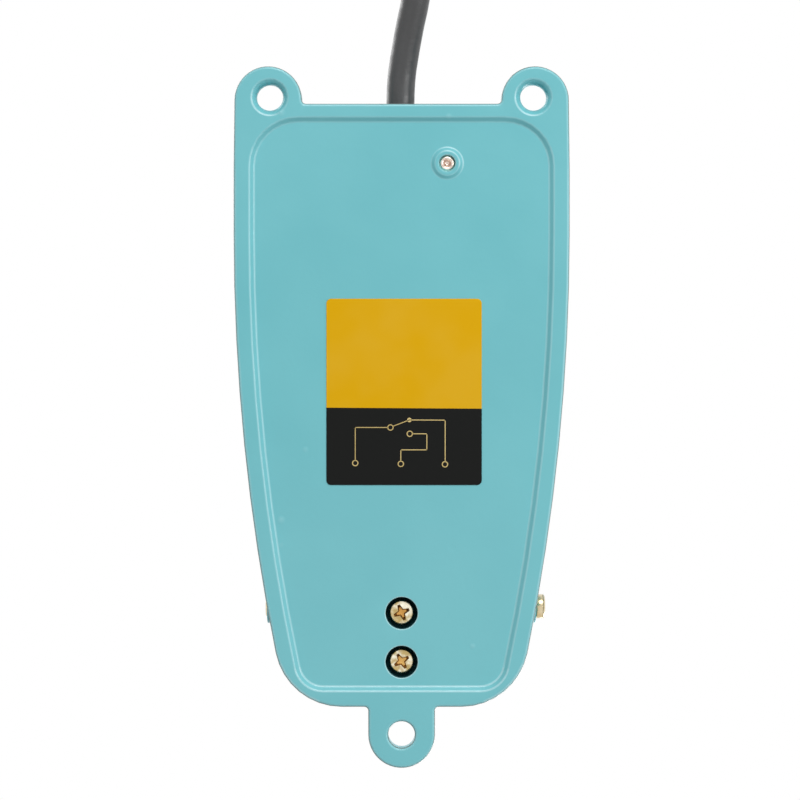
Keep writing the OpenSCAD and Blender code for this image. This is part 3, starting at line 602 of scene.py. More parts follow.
@dataclass(frozen=True)
class Strands:
    """Fine bare strands, laid at a slant."""

    color: Rgb = (205, 196, 180)
    tint: Rgb = (196, 128, 84)

    def make(self) -> bpy.types.Material:
        """Returns the material."""
        s = Shader("tinned_strands")
        s.plain(Metallic=1.0)
        aim = s.add("ShaderNodeMapping", vector_type="POINT")
        s.join(s.place, aim.inputs["Vector"])
        aim.inputs["Rotation"].default_value = (0.0, 0.5, 0.9)
        strands = s.use(Ridges, aim.outputs[0], Scale=900.0, Wander=0.6)
        grain = s.use(Grain, Scale=1800.0, Cloud=300.0)
        s.color(s.mix(grain.outputs["Cloud"], self.color, self.tint))
        s.rough(s.span(strands.outputs["Value"], 0.28, 0.5))
        s.relief(strands.outputs["Value"], 0.0001, 0.9)
        return s.material


class Finishes:
    """All of the part's finishes, each made once."""

    def __init__(self) -> None:
        """Makes the materials."""
        self.enamel = Enamel().make()
        self.tread = Rubber().make()
        self.stop = Rubber("stop_rubber", (34, 34, 35), (60, 60, 60), 1400.0).make()
        self.film = PrintedFilm().make()
        self.ink = Plated("print_ink", (196, 176, 122), (176, 156, 104), (150, 132, 88), 0.5).make()
        self.pin = Plated("pin_steel", (226, 214, 186), (208, 186, 140), (168, 146, 110), 0.2).make()
        self.zinc = Plated("yellow_zinc", (226, 220, 204), (214, 176, 112), (170, 132, 70), 0.16, 0.3, 420.0).make()
        self.head = Plated("screw_head", (255, 250, 228), (196, 172, 116), (120, 98, 68), 0.2, cloud=520.0).make()
        # Painted shade: a darker brown copy of the plating, with less metal, for the walls of the cross recess,
        # against the gold of the recess floor.
        self.recess = Plated("recess_wall_shade", (172, 130, 68), (120, 84, 42), (84, 58, 32), 0.35, metal=0.7).make()
        self.gold = Plated("recess_gold", (250, 206, 122), (226, 168, 84), (176, 118, 56), 0.3, metal=0.6).make()
        self.steel = Plated("bright_steel", (214, 213, 209), (190, 190, 190), (150, 150, 148)).make()
        self.spring = Plated("spring_wire", (176, 177, 178), (150, 150, 152), (110, 110, 112), 0.3).make()
        self.brass = Plated("contact_brass", (222, 188, 118), (206, 168, 96), (160, 126, 72), 0.26).make()
        self.copper = Plated("blade_copper", (214, 150, 108), (196, 128, 88), (150, 92, 62), 0.26).make()
        self.tin = Plated("terminal_tin", (218, 218, 214), (200, 200, 196), (160, 160, 156), 0.32).make()
        self.tip = Plated("tip_steel", (248, 243, 232), (206, 178, 166), (150, 132, 122), 0.2, cloud=520.0).make()
        self.nylon = Moulding("washer_nylon", (232, 226, 208), (218, 210, 188), 0.42, through=0.15).make()
        self.phenolic = Moulding("phenolic", (58, 50, 46), (44, 38, 36), 0.38).make()
        self.plunger = Moulding("plunger_plastic", (176, 44, 34), (150, 34, 28), 0.3).make()
        self.grommet = Moulding("grommet_rubber", (40, 40, 41), (56, 56, 57), 0.62, gloss=0.35).make()
        self.jacket = Moulding("jacket_pvc", (52, 52, 53), (60, 60, 61), 0.32, 520.0, 0.00005, 0.7).make()
        self.red = Moulding("red_pvc", (188, 34, 30), (166, 28, 26), 0.35).make()
        self.white = Moulding("white_pvc", (232, 230, 222), (216, 212, 202), 0.35).make()
        self.black = Moulding("black_pvc", (34, 34, 36), (48, 48, 50), 0.35).make()
        self.cores = (("red", self.red), ("white", self.white), ("black", self.black))
        self.tie = Moulding("tie_plastic", (226, 224, 214), (206, 203, 192), 0.4, through=0.1).make()
        self.strands = Strands().make()


# ---- Meshes ----


def evaluated(made: bpy.types.Object) -> bpy.types.Mesh:
    """Returns a new mesh of an object as its modifiers and curve settings make it."""
    bpy.context.view_layer.update()
    return bpy.data.meshes.new_from_object(made.evaluated_get(bpy.context.evaluated_depsgraph_get()))


class Form:
    """A mesh in the making, with the operations that the sub-assemblies share."""

    def __init__(self) -> None:
        """Starts an empty mesh with its edge mask."""
        self.bm = bmesh.new()
        self.mask("edge")

    def mask(self, name: str) -> bmesh.types.BMLayerItem:
        """Returns a mask on the corners of the faces, which the finishes read by its name."""
        layers = self.bm.loops.layers.float
        return layers.get(name) or layers.new(name)

    @classmethod
    def of_node(cls, node: str) -> "Form":
        """Copies a CAD node's mesh, with its doubled corners merged.

        Args:
            node: The CAD node's name.

        Returns:
            The new form.
        """
        form = cls()
        form.bm.from_mesh(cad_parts[node].data)
        bmesh.ops.remove_doubles(form.bm, verts=form.bm.verts, dist=2e-6)
        form.mask("edge")
        return form

    @classmethod
    def lathe(cls, profile: Sequence[tuple[float, float]], steps: int = 48) -> "Form":
        """Turns a profile about the Z axis.

        Args:
            profile: Radius and height of each of its points, in metres.
            steps: Faces round the axis.

        Returns:
            The new form.
        """
        form = cls()
        verts = [form.bm.verts.new((r, 0.0, z)) for r, z in profile]
        edges = [form.bm.edges.new(pair) for pair in zip(verts, verts[1:])]
        bmesh.ops.spin(
            form.bm, geom=verts + edges, cent=(0, 0, 0), axis=(0, 0, 1), angle=math.tau, steps=steps, use_merge=True
        )
        return form.closed()

    @classmethod
    def bar(cls, low: Point, high: Point) -> "Form":
        """Makes a block between two corners.

        Args:
            low: Its lowest corner.
            high: Its highest corner.

        Returns:
            The new form.
        """
        form = cls()
        size = Vector(high) - Vector(low)
        middle = (Vector(high) + Vector(low)) / 2
        bmesh.ops.create_cube(form.bm, size=1.0, matrix=Matrix.Translation(middle) @ Matrix.Diagonal((*size, 1.0)))
        return form

    def moved(self, place: Point, axis: Axis = Axis.UP, turn: float = 0.0) -> "Form":
        """Turns the form from the Z axis to another one and moves it.

        Args:
            place: Where its origin goes.
            axis: Where its Z axis goes.
            turn: How far it is first turned about its own axis, in degrees.

        Returns:
            The form itself.
        """
        aim = Vector(axis.value).to_track_quat("Z", "Y").to_matrix().to_4x4()
        matrix = Matrix.Translation(place) @ aim @ Matrix.Rotation(math.radians(turn), 4, "Z")
        bmesh.ops.transform(self.bm, matrix=matrix, verts=self.bm.verts)
        return self

    def take(self, mesh: bpy.types.Mesh) -> None:
        """Adds a spare mesh to the form and removes it."""
        self.bm.from_mesh(mesh)
        bpy.data.meshes.remove(mesh)

    def closed(self) -> "Form":
        """Merges doubled corners, turns the faces outwards and returns the form."""
        bmesh.ops.remove_doubles(self.bm, verts=self.bm.verts, dist=1e-6)
        bmesh.ops.recalc_face_normals(self.bm, faces=self.bm.faces)
        return self

    def join(self, other: "Form") -> "Form":
        """Adds another form's mesh to this one.

        Args:
            other: The other form, which is used up.

        Returns:
            The form itself.
        """
        mesh = bpy.data.meshes.new("part")
        other.bm.to_mesh(mesh)
        other.bm.free()
        self.take(mesh)
        return self

    def soften(
        self,
        width: float,
        segments: int = 2,
        angle: float = 32.0,
        where: Optional[Callable[[Vector, float], bool]] = None,
    ) -> "Form":
        """Rounds the sharp edges and marks their new faces in the edge mask.

        Args:
            width: Width of the rounding, in metres.
            segments: Faces across it.
            angle: The least angle of an edge that is rounded, in degrees.
            where: Which edges are rounded, by their middle point and by how level
                the steeper of their two faces is, from 0 for a wall to 1.

        Returns:
            The form itself.
        """

        def wanted(edge: bmesh.types.BMEdge) -> bool:
            """Tells whether an edge is sharp and among those asked for."""
            if len(edge.link_faces) != 2 or edge.calc_face_angle(0.0) <= math.radians(angle):
                return False
            middle = (edge.verts[0].co + edge.verts[1].co) / 2
            return where is None or where(middle, min(abs(f.normal.z) for f in edge.link_faces))

        sharp = [e for e in self.bm.edges if wanted(e)]
        made = bmesh.ops.bevel(
            self.bm,
            geom=sharp,
            offset=width,
            offset_type="OFFSET",
            affect="EDGES",
            segments=segments,
            profile=0.5,
            material=-1,
            clamp_overlap=False,
            loop_slide=False,
            miter_outer="ARC",
        )
        edge, new = self.mask("edge"), set(made["faces"])
        for face in new:
            for loop in face.loops:
                inner = segments == 1 or all(f in new for f in loop.vert.link_faces)
                loop[edge] = 1.0 if inner else OUTER_EDGE
        return self

    def cut(self, cutters: Sequence["Form"]) -> "Form":
        """Cuts other forms out of this one.

        Args:
            cutters: The forms, which are used up.

        Returns:
            The form itself.
        """
        body = self.object("cut_body")
        tools = [c.object(f"cutter_{i}") for i, c in enumerate(cutters)]
        blanks = [bpy.data.materials.new(f"blank_{i}") for i in range(3)]
        for part in [body, *tools]:
            for blank in blanks:
                part.data.materials.append(blank)
        for tool in tools:
            change = body.modifiers.new("cut", "BOOLEAN")
            change.operation, change.solver, change.object = "DIFFERENCE", "EXACT", tool
        mesh = evaluated(body)
        for spare in [body, *tools]:
            old = spare.data
            bpy.data.objects.remove(spare)
            bpy.data.meshes.remove(old)
        for blank in blanks:
            bpy.data.materials.remove(blank)
        self.bm = bmesh.new()
        self.take(mesh)
        self.mask("edge")
        return self

    def object(self, name: str, smooth: float = 40.0) -> bpy.types.Object:
        """Turns the form into an object at the origin.

        Args:
            name: The object's name.
            smooth: Edges sharper than this stay sharp, in degrees.

        Returns:
            The object.
        """
        mesh = bpy.data.meshes.new(name)
        self.bm.to_mesh(mesh)
        self.bm.free()
        mesh.shade_smooth()
        mesh.set_sharp_from_angle(angle=math.radians(smooth))
        made = bpy.data.objects.new(name, mesh)
        bpy.context.scene.collection.objects.link(made)
        return made


def wire(name: str, points: Sequence[Point], radius: float, sides: int = 5) -> bpy.types.Object:
    """Makes a round wire along a smooth line as a curve.

    Args:
        name: The curve's name.
        points: The line's points.
        radius: The wire's radius.
        sides: The curve's bevel resolution.

    Returns:
        The curve object.
    """
    curve = bpy.data.curves.new(name, "CURVE")
    curve.dimensions = "3D"
    curve.bevel_depth, curve.bevel_resolution, curve.use_fill_caps = radius, sides, True
    curve.twist_mode = "MINIMUM"
    spline = curve.splines.new("POLY")
    spline.points.add(len(points) - 1)
    for slot, point in zip(spline.points, points):
        slot.co = (*point, 1.0)
    spline.use_smooth = True
    made = bpy.data.objects.new(name, curve)
    bpy.context.scene.collection.objects.link(made)
    return made


def wire_mesh(name: str, points: Sequence[Point], radius: float, sides: int = 5) -> bpy.types.Object:
    """Makes a round wire along a smooth line as a mesh, with the same arguments as wire."""
    curve = wire(name + "_line", points, radius, sides)
    mesh = evaluated(curve)
    data = curve.data
    bpy.data.objects.remove(curve)
    bpy.data.curves.remove(data)
    form = Form()
    form.take(mesh)
    return form.closed().object(name, 50.0)


def flowing(points: Sequence[Point], parts: int) -> list[Point]:
    """Runs a smooth line through points, with each stretch cut into parts.

    Args:
        points: The points that the line passes.
        parts: How many parts each stretch gets.

    Returns:
        The line's points.
    """
    p = [Vector(q) for q in points]
    p = [2 * p[0] - p[1], *p, 2 * p[-1] - p[-2]]
    line: list[Point] = []
    for a, b, c, d in zip(p, p[1:], p[2:], p[3:]):
        for i in range(parts):
            t = i / parts
            q = 0.5 * (2 * b + (c - a) * t + (2 * a - 5 * b + 4 * c - d) * t**2 + (3 * b - a - 3 * c + d) * t**3)
            line.append(tuple(q))
    return [*line, tuple(p[-2])]


def dress(
    piece: bpy.types.Object,
    body: Optional[Body],
    materials: Sequence[bpy.types.Material],
    nodes: Sequence[str] = (),
    flat_faces: bool = True,
) -> bpy.types.Object:
    """Gives a piece its materials, its body and the CAD nodes that it stands for.

    Args:
        piece: The piece.
        body: The body that it rides on, or None for a piece that is blended between two.
        materials: Its materials, in the order of its faces' slots.
        nodes: The CAD nodes that it stands for.
        flat_faces: Whether its large faces keep their own normals.

    Returns:
        The piece.
    """
    for material in materials:
        piece.data.materials.append(material)
    if flat_faces and piece.type == "MESH":
        weigh = piece.modifiers.new("weighted_normals", "WEIGHTED_NORMAL")
        weigh.mode, weigh.weight, weigh.keep_sharp = "FACE_AREA", 50, True
    if body:
        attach(piece, body.value)
    if nodes:
        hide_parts(*nodes)
    return piece


@dataclass
class Rounded:
    """A CAD node that is shown with its edges rounded."""

    node: str
    body: Body
    slot: str
    width: float
    segments: int = 2
    angle: float = 32.0

    def build(self, material: bpy.types.Material) -> bpy.types.Object:
        """Makes and dresses the piece.

        Args:
            material: Its material.

        Returns:
            The piece.
        """
        form = Form.of_node(self.node).soften(self.width, self.segments, self.angle)
        return dress(form.object(self.node + "_piece"), self.body, [material], [self.node])


# ---- Base ----


@dataclass
class Label:
    """The rating label: a film in two fields with a plain contact diagram printed on it."""

    line_w: float = 0.21 * MM
    ring_out: float = 0.78 * MM
    ring_in: float = 0.54 * MM
    dot_r: float = 0.55 * MM
    ink_t: float = 0.02 * MM
    rings: tuple[tuple[float, float], ...] = (
        (11.4, -11.3), (2.75, -2.55), (-10.65, -11.6), (-2.0, -4.1), (0.2, -11.5),
    )
    ring_steps: int = 28
    dot: tuple[float, float] = (-1.9, -0.7)
    lines: tuple[tuple[tuple[float, float], ...], ...] = (
        ((11.4, -10.5), (11.4, -2.55), (3.55, -2.55)),
        ((2.0, -2.2), (-1.9, -0.7), (-10.7, -0.75), (-10.7, -10.8)),
        ((-2.8, -4.1), (-6.2, -4.1), (-6.2, -8.05), (0.2, -8.05), (0.2, -10.7)),
    )

    def stroke(self, a: tuple[float, float], b: tuple[float, float], z: float) -> Form:
        """Makes one printed line.

        Args:
            a: Where it starts, in millimetres.
            b: Where it ends, in millimetres.
            z: Its lower face.

        Returns:
            The line's form.
        """
        start, end = Vector(a) * MM, Vector(b) * MM
        run = end - start
        half = self.line_w / 2
        form = Form.bar((-half, -half, 0), (run.length + half, half, self.ink_t))
        turn = Matrix.Rotation(math.atan2(run.y, run.x), 4, "Z")
        bmesh.ops.transform(form.bm, matrix=Matrix.Translation((*start, z)) @ turn, verts=form.bm.verts)
        return form

    def diagram(self, z: float) -> Form:
        """Makes the contact diagram's printed lines and rings.

        Args:
            z: The lower face of the print.

        Returns:
            The diagram's form.
        """
        form = Form()
        for line in self.lines:
            for a, b in zip(line, line[1:]):
                form.join(self.stroke(a, b, z))
        inner, outer, top = self.ring_in, self.ring_out, self.ink_t
        ring = [(inner, 0), (outer, 0), (outer, top), (inner, top), (inner, 0)]
        for x, y in self.rings:
            form.join(Form.lathe(ring, self.ring_steps).moved((x * MM, y * MM, z)))
        disc = [(0, 0), (self.dot_r, 0), (self.dot_r, top), (0, top)]
        form.join(Form.lathe(disc, self.ring_steps).moved((self.dot[0] * MM, self.dot[1] * MM, z)))
        return form

    def build(self, finishes: Finishes) -> None:
        """Makes and dresses the film and its print.

        Args:
            finishes: The finishes.
        """
        film = Form.of_node("rating_label").soften(0.05 * MM, 1, 60.0)
        dress(film.object("label_film_piece"), Body.BASE, [finishes.film], ["rating_label"])
        low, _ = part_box("rating_label")
        printed = self.diagram(low.z - self.ink_t)
        dress(printed.object("label_diagram"), Body.BASE, [finishes.ink])


@dataclass
class BaseCasting:
    """The base casting with its label and its rubber stops."""

    rim_edge: float = 0.75 * MM
    step_edge: float = 0.32 * MM
    small_edge: float = 0.25 * MM
    top_edge: float = 0.35 * MM
    recess_z: float = 1.0 * MM
    wall: float = 0.3
    bore_r: float = 4.0 * MM
    ear: tuple[float, float] = (32.4 * MM, 78.6 * MM)
    ear_r: float = 5.5 * MM
    mouth: float = 0.4 * MM
    boss: tuple[float, float] = (-11.2 * MM, 62.4 * MM)
    boss_r: float = 4.3 * MM
    lug_x: float = 20.0 * MM
    lug_z: float = 5.0 * MM
    lug_half: float = 7.5 * MM
    under_z: float = 1.3 * MM
    step_z: float = 1.2 * MM
    foot_z: float = 0.2 * MM
    top_z: float = 3.9 * MM
    # Where the painted highlights run along the outline, and how strong they are at the heel and on the sides.
    pale_ys: tuple[float, float] = (-70.0 * MM, 66.0 * MM)
    heel_y: float = -60.0 * MM
    pale_heel: float = 0.85
    pale_side: float = 0.3
    label: Label = field(default_factory=Label)

    def near_bore(self, p: Vector, margin: float = 0.1 * MM) -> bool:
        """Tells whether a point lies in one of the deep counterbores, or within a margin of it."""
        return any((p.xy - Vector((0.0, y))).length < self.bore_r + margin for y in SCREW_YS)

    def near_boss(self, p: Vector) -> bool:
        """Tells whether a point lies on the ring boss round the clamp screw's tip."""
        return (p.xy - Vector(self.boss)).length < self.boss_r

    def near_lug(self, p: Vector) -> bool:
        """Tells whether a point lies on a hinge lug."""
        return abs(p.x) > self.lug_x and abs(p.y - HINGE[0]) < self.lug_half and p.z > self.lug_z

    def painted_highlight(self, p: Vector) -> float:
        """Tells how strong the painted highlight is on an edge of the underside, from 0 to 1, stronger on the sides
        that face the lamps.

        Args:
            p: The edge's place.

        Returns:
            The painted highlight's strength.
        """
        if self.near_bore(p, self.mouth):
            return 1.0
        if self.near_boss(p):
            return linear_step((p.xy - Vector(self.boss)).normalized().dot(Vector((-0.71, 0.71))), 0.1, 0.7)
        ear = Vector((math.copysign(self.ear[0], p.x), self.ear[1]))
        if (p.xy - ear).length < self.ear_r:
            return linear_step((p.xy - ear).normalized().dot(Vector((0.71, -0.71))), 0.2, 0.8)
        if not self.pale_ys[0] < p.y < self.pale_ys[1]:
            return 0.0
        return self.pale_heel if p.y < self.heel_y else self.pale_side

    def fine(self, p: Vector) -> bool:
        """Tells whether a point lies on the boss's or a counterbore's small edges."""
        return p.z < self.under_z and (self.near_boss(p) or self.near_bore(p))

    def age(self, form: Form) -> None:
        """Marks the grey painted shade on the outline's outermost line, the painted highlights on the edges' crests
        and the painted shade in the counterbores.

        Args:
            form: The base's form.
        """
        edge, rim, bore_shade, painted_highlight = (form.mask(name) for name in ("edge", "rim", "bore_shade", "painted_highlight"))
        for face in form.bm.faces:
            spot, level = face.calc_center_median(), abs(face.normal.z)
            bore, boss = self.near_bore(spot, self.mouth), self.near_boss(spot)
            for loop in face.loops:
                if not loop[edge]:
                    # Painted shade: the counterbores' walls and floors, and the edges deep in them.
                    loop[bore_shade] = float(bore and spot.z > self.recess_z + 0.3 * MM)
                elif bore and spot.z > self.recess_z + 0.18 * MM:
                    loop[bore_shade] = 1.0
                elif spot.z < self.rim_edge and level < 0.6 and not boss:
                    # Painted shade: grey on the steep outer face of the outline's rounding.
                    loop[rim] = 1.0
                elif spot.z < self.under_z:
                    # Painted highlight on the crests of the underside's edges.
                    loop[painted_highlight] = self.painted_highlight(spot) * (1.0 if bore else loop[edge])

    def build(self, finishes: Finishes) -> None:
        """Makes and dresses the base.

        Args:
            finishes: The finishes.
        """
        form = Form.of_node("base_casting")

        def is_step(p: Vector, level: float) -> bool:
            """Tells whether an edge belongs to the step between the rim and the floor."""
            return p.z < self.step_z and level > self.wall and not self.fine(p)

        def is_rim(p: Vector, level: float) -> bool:
            """Tells whether an edge belongs to the rim's outline."""
            return p.z < self.foot_z and level < self.wall and not self.fine(p)

        def is_top(p: Vector, _: float) -> bool:
            """Tells whether an edge lies on top, away from the bores and the lugs."""
            return p.z > self.top_z and not self.near_bore(p) and not self.near_lug(p)

        form.soften(self.step_edge, 3, 25.0, is_step)
        form.soften(self.rim_edge, 4, 35.0, is_rim)
        form.soften(self.small_edge, 2, 35.0, lambda p, _: self.fine(p))
        form.soften(self.top_edge, 2, 40.0, is_top)
        self.age(form)
        dress(form.object("base_shell"), Body.BASE, [finishes.enamel], ["base_casting"])
        self.label.build(finishes)
        Rounded("bump_stops", Body.BASE, "stop_rubber", 0.3 * MM).build(finishes.stop)


# ---- Pedal ----


@dataclass
class Pedal:
    """The pedal casting, its tread pad and its striker."""

    skirt_edge: float = 0.5 * MM
    boss_edge: float = 0.2 * MM
    rib_edge: float = 0.3 * MM
    face_x: float = 33.2 * MM
    boss_r: float = 6.4 * MM

    def near_hinge(self, p: Vector) -> bool:
        """Tells whether a point lies on one of the hinge's bosses."""
        return (p.yz - Vector(HINGE)).length < self.boss_r

    def build(self, finishes: Finishes) -> None:
        """Makes and dresses the pedal.

        Args:
            finishes: The finishes.
        """
        shell = Form.of_node("pedal_casting")
        shell.soften(self.skirt_edge, 2, 42.0, lambda p, _: not self.near_hinge(p))
        shell.soften(self.boss_edge, 2, 70.0, lambda p, _: self.near_hinge(p) and abs(p.x) > self.face_x)
        dress(shell.object("pedal_shell"), Body.PEDAL, [finishes.enamel], ["pedal_casting"])
        tread = Form.of_node("tread_pad").soften(self.rib_edge, 2, 30.0)
        dress(tread.object("tread_sheet"), Body.PEDAL, [finishes.tread], ["tread_pad"])
        Rounded("striker_screw", Body.PEDAL, "zinc_yellow", 0.2 * MM).build(finishes.zinc)
        Rounded("striker_nut", Body.PEDAL, "zinc_yellow", 0.25 * MM).build(finishes.zinc)


# ---- Fasteners ----


@dataclass
class PanScrew:
    """A pan-head screw with a cross recess and a ridged thread."""

    head_r: float
    head_h: float
    shank_r: float
    shank_len: float
    pitch: float = 0.5 * MM
    recess: float = 0.86
    brim: float = 0.12 * MM
    shoulder: float = 0.78
    steps: int = 40

    def profile(self) -> list[tuple[float, float]]:
        """Returns radius and height of the outline, from the shank's tip to the head's top."""
        r, h = self.head_r, self.head_h
        points = [(0.0, -self.shank_len), (self.shank_r * 0.72, -self.shank_len)]
        count = int((self.shank_len - 0.4 * MM) / self.pitch)
        top = -0.15 * MM
        for i in range(count, -1, -1):
            z = top - i * self.pitch
            points += [(self.shank_r * 0.86, z - self.pitch * 0.5), (self.shank_r, z - self.pitch * 0.12)]
        points += [(self.shank_r * 0.9, 0.0), (r - self.brim, 0.0), (r, self.brim), (r, h * self.shoulder)]
        for i in range(1, 5):
            a = math.radians(75 * i / 4)
            points.append((r * (0.95 + 0.05 * math.cos(a)), h * (self.shoulder + 0.12 * math.sin(a))))
        return [*points, (r * 0.85, h * 0.925), (r * 0.6, h * 0.965), (r * 0.35, h * 0.99), (0.0, h)]

    def cutter(self) -> Form:
        """Makes the cross recess's cutter, a tapered star.

        Returns:
            Its form, whose walls have the second material slot and its floor the third.
        """
        r, h = self.head_r * self.recess, self.head_h
        corners = ((r, -0.16 * r), (r, 0.16 * r), (0.32 * r, 0.32 * r))
        form, rings = Form(), []
        for size, z in ((0.5, 0.45 * h), (1.0, 1.3 * h)):
            ring = []
            for quarter in range(4):
                turn = Matrix.Rotation(math.radians(90 * quarter), 2)
                ring += [form.bm.verts.new((*(turn @ Vector(corner) * size), z)) for corner in corners]
            rings.append(ring)
        low, high = rings
        for i in range(len(low)):
            form.bm.faces.new((low[i - 1], low[i], high[i], high[i - 1])).material_index = 1
        form.bm.faces.new(low).material_index = 2
        form.bm.faces.new(high)
        bmesh.ops.recalc_face_normals(form.bm, faces=form.bm.faces)
        return form

    def form(self) -> Form:
        """Returns the whole screw, its head standing on the XY plane."""
        return Form.lathe(self.profile(), self.steps).cut([self.cutter()])


# ---- Hinge ----


@dataclass
class Hinge:
    """The hinge pin with its clip and its nylon washers."""

    def build(self, finishes: Finishes) -> None:
        """Makes and dresses the hinge.

        Args:
            finishes: The finishes.
        """
        Rounded("hinge_pin", Body.BASE, "pin_steel", 0.25 * MM, 3, 30.0).build(finishes.pin)
        Rounded("pin_clip", Body.BASE, "bright_steel", 0.1 * MM).build(finishes.steel)
        Rounded("hinge_washers", Body.BASE, "washer_nylon", 0.12 * MM).build(finishes.nylon)


# ---- Return spring ----


@dataclass
class ReturnSpring:
    """The coil spring between the base and the pedal, with its ends wound closed."""

    mean_r: float = 6.2 * MM
    wire_r: float = 0.8 * MM
    turns: float = 8.5
    centre_y: float = 40.0 * MM
    steps: int = 36

    def build(self, finishes: Finishes) -> None:
        """Makes and dresses the spring.

        Args:
            finishes: The finishes.
        """
        low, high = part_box("return_spring")
        z0, z1 = low.z + self.wire_r, high.z - self.wire_r
        rise = 2 * self.wire_r * 1.05
        free = (z1 - z0 - 2 * rise) / (self.turns - 2)
        line: list[Point] = []
        for i in range(int(self.steps * self.turns) + 1):
            turn = i / self.steps
            a = math.tau * turn
            if turn < 1:
                z = z0 + rise * turn
            elif turn > self.turns - 1:
                z = z1 - rise * (self.turns - turn)
            else:
                z = z0 + rise + free * (turn - 1)
            line.append((self.mean_r * math.cos(a), self.centre_y + self.mean_r * math.sin(a), z))
        spring = wire_mesh("spring_coil", line, self.wire_r, 4)
        dress(spring, None, [finishes.spring], ["return_spring"], flat_faces=False)
        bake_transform(spring, "base", "pedal", start=(0.0, self.centre_y, z0 + rise), end=(0.0, self.centre_y, z1 - rise))


# ---- Switch ----


@dataclass
class SwitchUnit:
    """The snap-action switch on its bracket, with its fasteners and contacts."""

    screw_turns: tuple[float, float] = (22.0, 31.0)
    case_ys: tuple[float, float] = (-25.2 * MM, -3.0 * MM)
    head_z: float = 5.0 * MM
    case_x: float = -5.15 * MM
    case_z: float = 10.8 * MM

    def screws(self, finishes: Finishes) -> None:
        """Makes the bracket's screws, whose heads show from below, and the switch's screws."""
        # The recess walls take the painted-shade copy of the plating and the recess floor the gold one.
        form, slots = Form(), [finishes.head, finishes.recess, finishes.gold]
        bracket = PanScrew(2.95 * MM, 2.0 * MM, 1.45 * MM, 7.9 * MM)
        for y, turn in zip(SCREW_YS, self.screw_turns):
            form.join(bracket.form().moved((0.0, y, self.head_z), Axis.DOWN, turn))
        dress(form.object("bracket_screw_pair", 34.0), Body.BASE, slots, ["bracket_screws"])
        form = Form()
        side = PanScrew(2.8 * MM, 1.9 * MM, 1.45 * MM, 14.8 * MM)
        for y in self.case_ys:
            form.join(side.form().moved((self.case_x, y, self.case_z), Axis.LEFT, 20.0))
        dress(form.object("switch_screw_pair", 34.0), Body.BASE, slots, ["switch_screws"])

    def build(self, finishes: Finishes) -> None:
        """Makes and dresses the switch unit.

        Args:
            finishes: The finishes.
        """
        self.screws(finishes)
        base, steel, zinc = Body.BASE, finishes.steel, finishes.zinc
        Rounded("switch_bracket", base, "bright_steel", 0.18 * MM).build(steel)
        Rounded("bracket_lock_washers", base, "bright_steel", 0.08 * MM, 1).build(steel)
        Rounded("bracket_nuts", base, "zinc_yellow", 0.2 * MM).build(zinc)
        Rounded("switch_nuts", base, "zinc_yellow", 0.2 * MM).build(zinc)
        Rounded("switch_case", base, "phenolic", 0.22 * MM).build(finishes.phenolic)
        Rounded("switch_cover", base, "phenolic", 0.25 * MM).build(finishes.phenolic)
        Rounded("switch_plunger", Body.PLUNGER, "plunger_plastic", 0.3 * MM, 3).build(finishes.plunger)
        Rounded("switch_lever", Body.LEVER, "bright_steel", 0.1 * MM).build(steel)
        Rounded("lever_pin", base, "bright_steel", 0.1 * MM).build(steel)
        for name in ("open_terminal", "common_terminal", "closed_terminal"):
            Rounded(name, base, "contact_brass", 0.06 * MM, 1).build(finishes.brass)
        Rounded("contact_blade", Body.BLADE, "blade_copper", 0.06 * MM, 1).build(finishes.copper)


# ---- Wiring ----


@dataclass
class Wiring:
    """The crimped receptacles and the three leads from the switch to the cable's jacket."""

    lead_r: float = 1.0 * MM
    tab_zs: tuple[float, float, float] = (14.6, 18.0, 21.4)
    end_z: float = 11.0
    step: float = 2.1
    start_y: float = 10.2
    end_y: float = 55.0
    plan: tuple[tuple[float, float], ...] = (
        (0, 0), (0, 15), (1.5, 24), (5, 34), (9, 44), (11.6, 55.5),
        (12.4, 66.5), (11.8, 77.5), (9.4, 86.5), (6, 93), (3, 97), (0.4, 100),
    )
    fall: tuple[float, ...] = (0, 0, 0.12, 0.3, 0.5, 0.7, 0.86, 0.96, 1, 1, 1, 1)

    def line(self, index: int) -> list[Point]:
        """Returns the points of one lead's line.

        Args:
            index: The lead, from the lowest terminal up.

        Returns:
            The points, in metres.
        """
        low, high = self.tab_zs[index], self.end_z + (index - 1) * self.step
        way = (self.end_y - self.start_y) / 100
        points = [
            (x * MM, (self.start_y + y * way) * MM, (low + fallen * (high - low)) * MM)
            for (x, y), fallen in zip(self.plan, self.fall)
        ]
        return flowing(points, 5)

    def build(self, finishes: Finishes) -> None:
        """Makes and dresses the wiring.

        Args:
            finishes: The finishes.
        """
        for i, (name, material) in enumerate(finishes.cores):
            lead = wire_mesh(f"{name}_lead_piece", self.line(i), self.lead_r)
            dress(lead, Body.BASE, [material], [f"{name}_lead"], flat_faces=False)
        for name in ("open_receptacle", "common_receptacle", "closed_receptacle"):
            Rounded(name, Body.BASE, "terminal_tin", 0.08 * MM, 1, 50.0).build(finishes.tin)


# ---- Cable entry ----


@dataclass
class CableEntry:
    """The grommet, the clamp with its screw and the jacketed cable inside the base."""

    def build(self, finishes: Finishes) -> None:
        """Makes and dresses the cable's way in.

        Args:
            finishes: The finishes.
        """
        Rounded("cable_grommet", Body.BASE, "stop_rubber", 0.3 * MM, 3).build(finishes.grommet)
        Rounded("cable_clamp", Body.BASE, "bright_steel", 0.15 * MM).build(finishes.steel)
        Rounded("clamp_screw", Body.BASE, "bright_steel", 0.12 * MM).build(finishes.tip)
        Rounded("cable_jacket", Body.BASE, "jacket_pvc", 0.3 * MM).build(finishes.jacket)


# ---- Supply cord ----


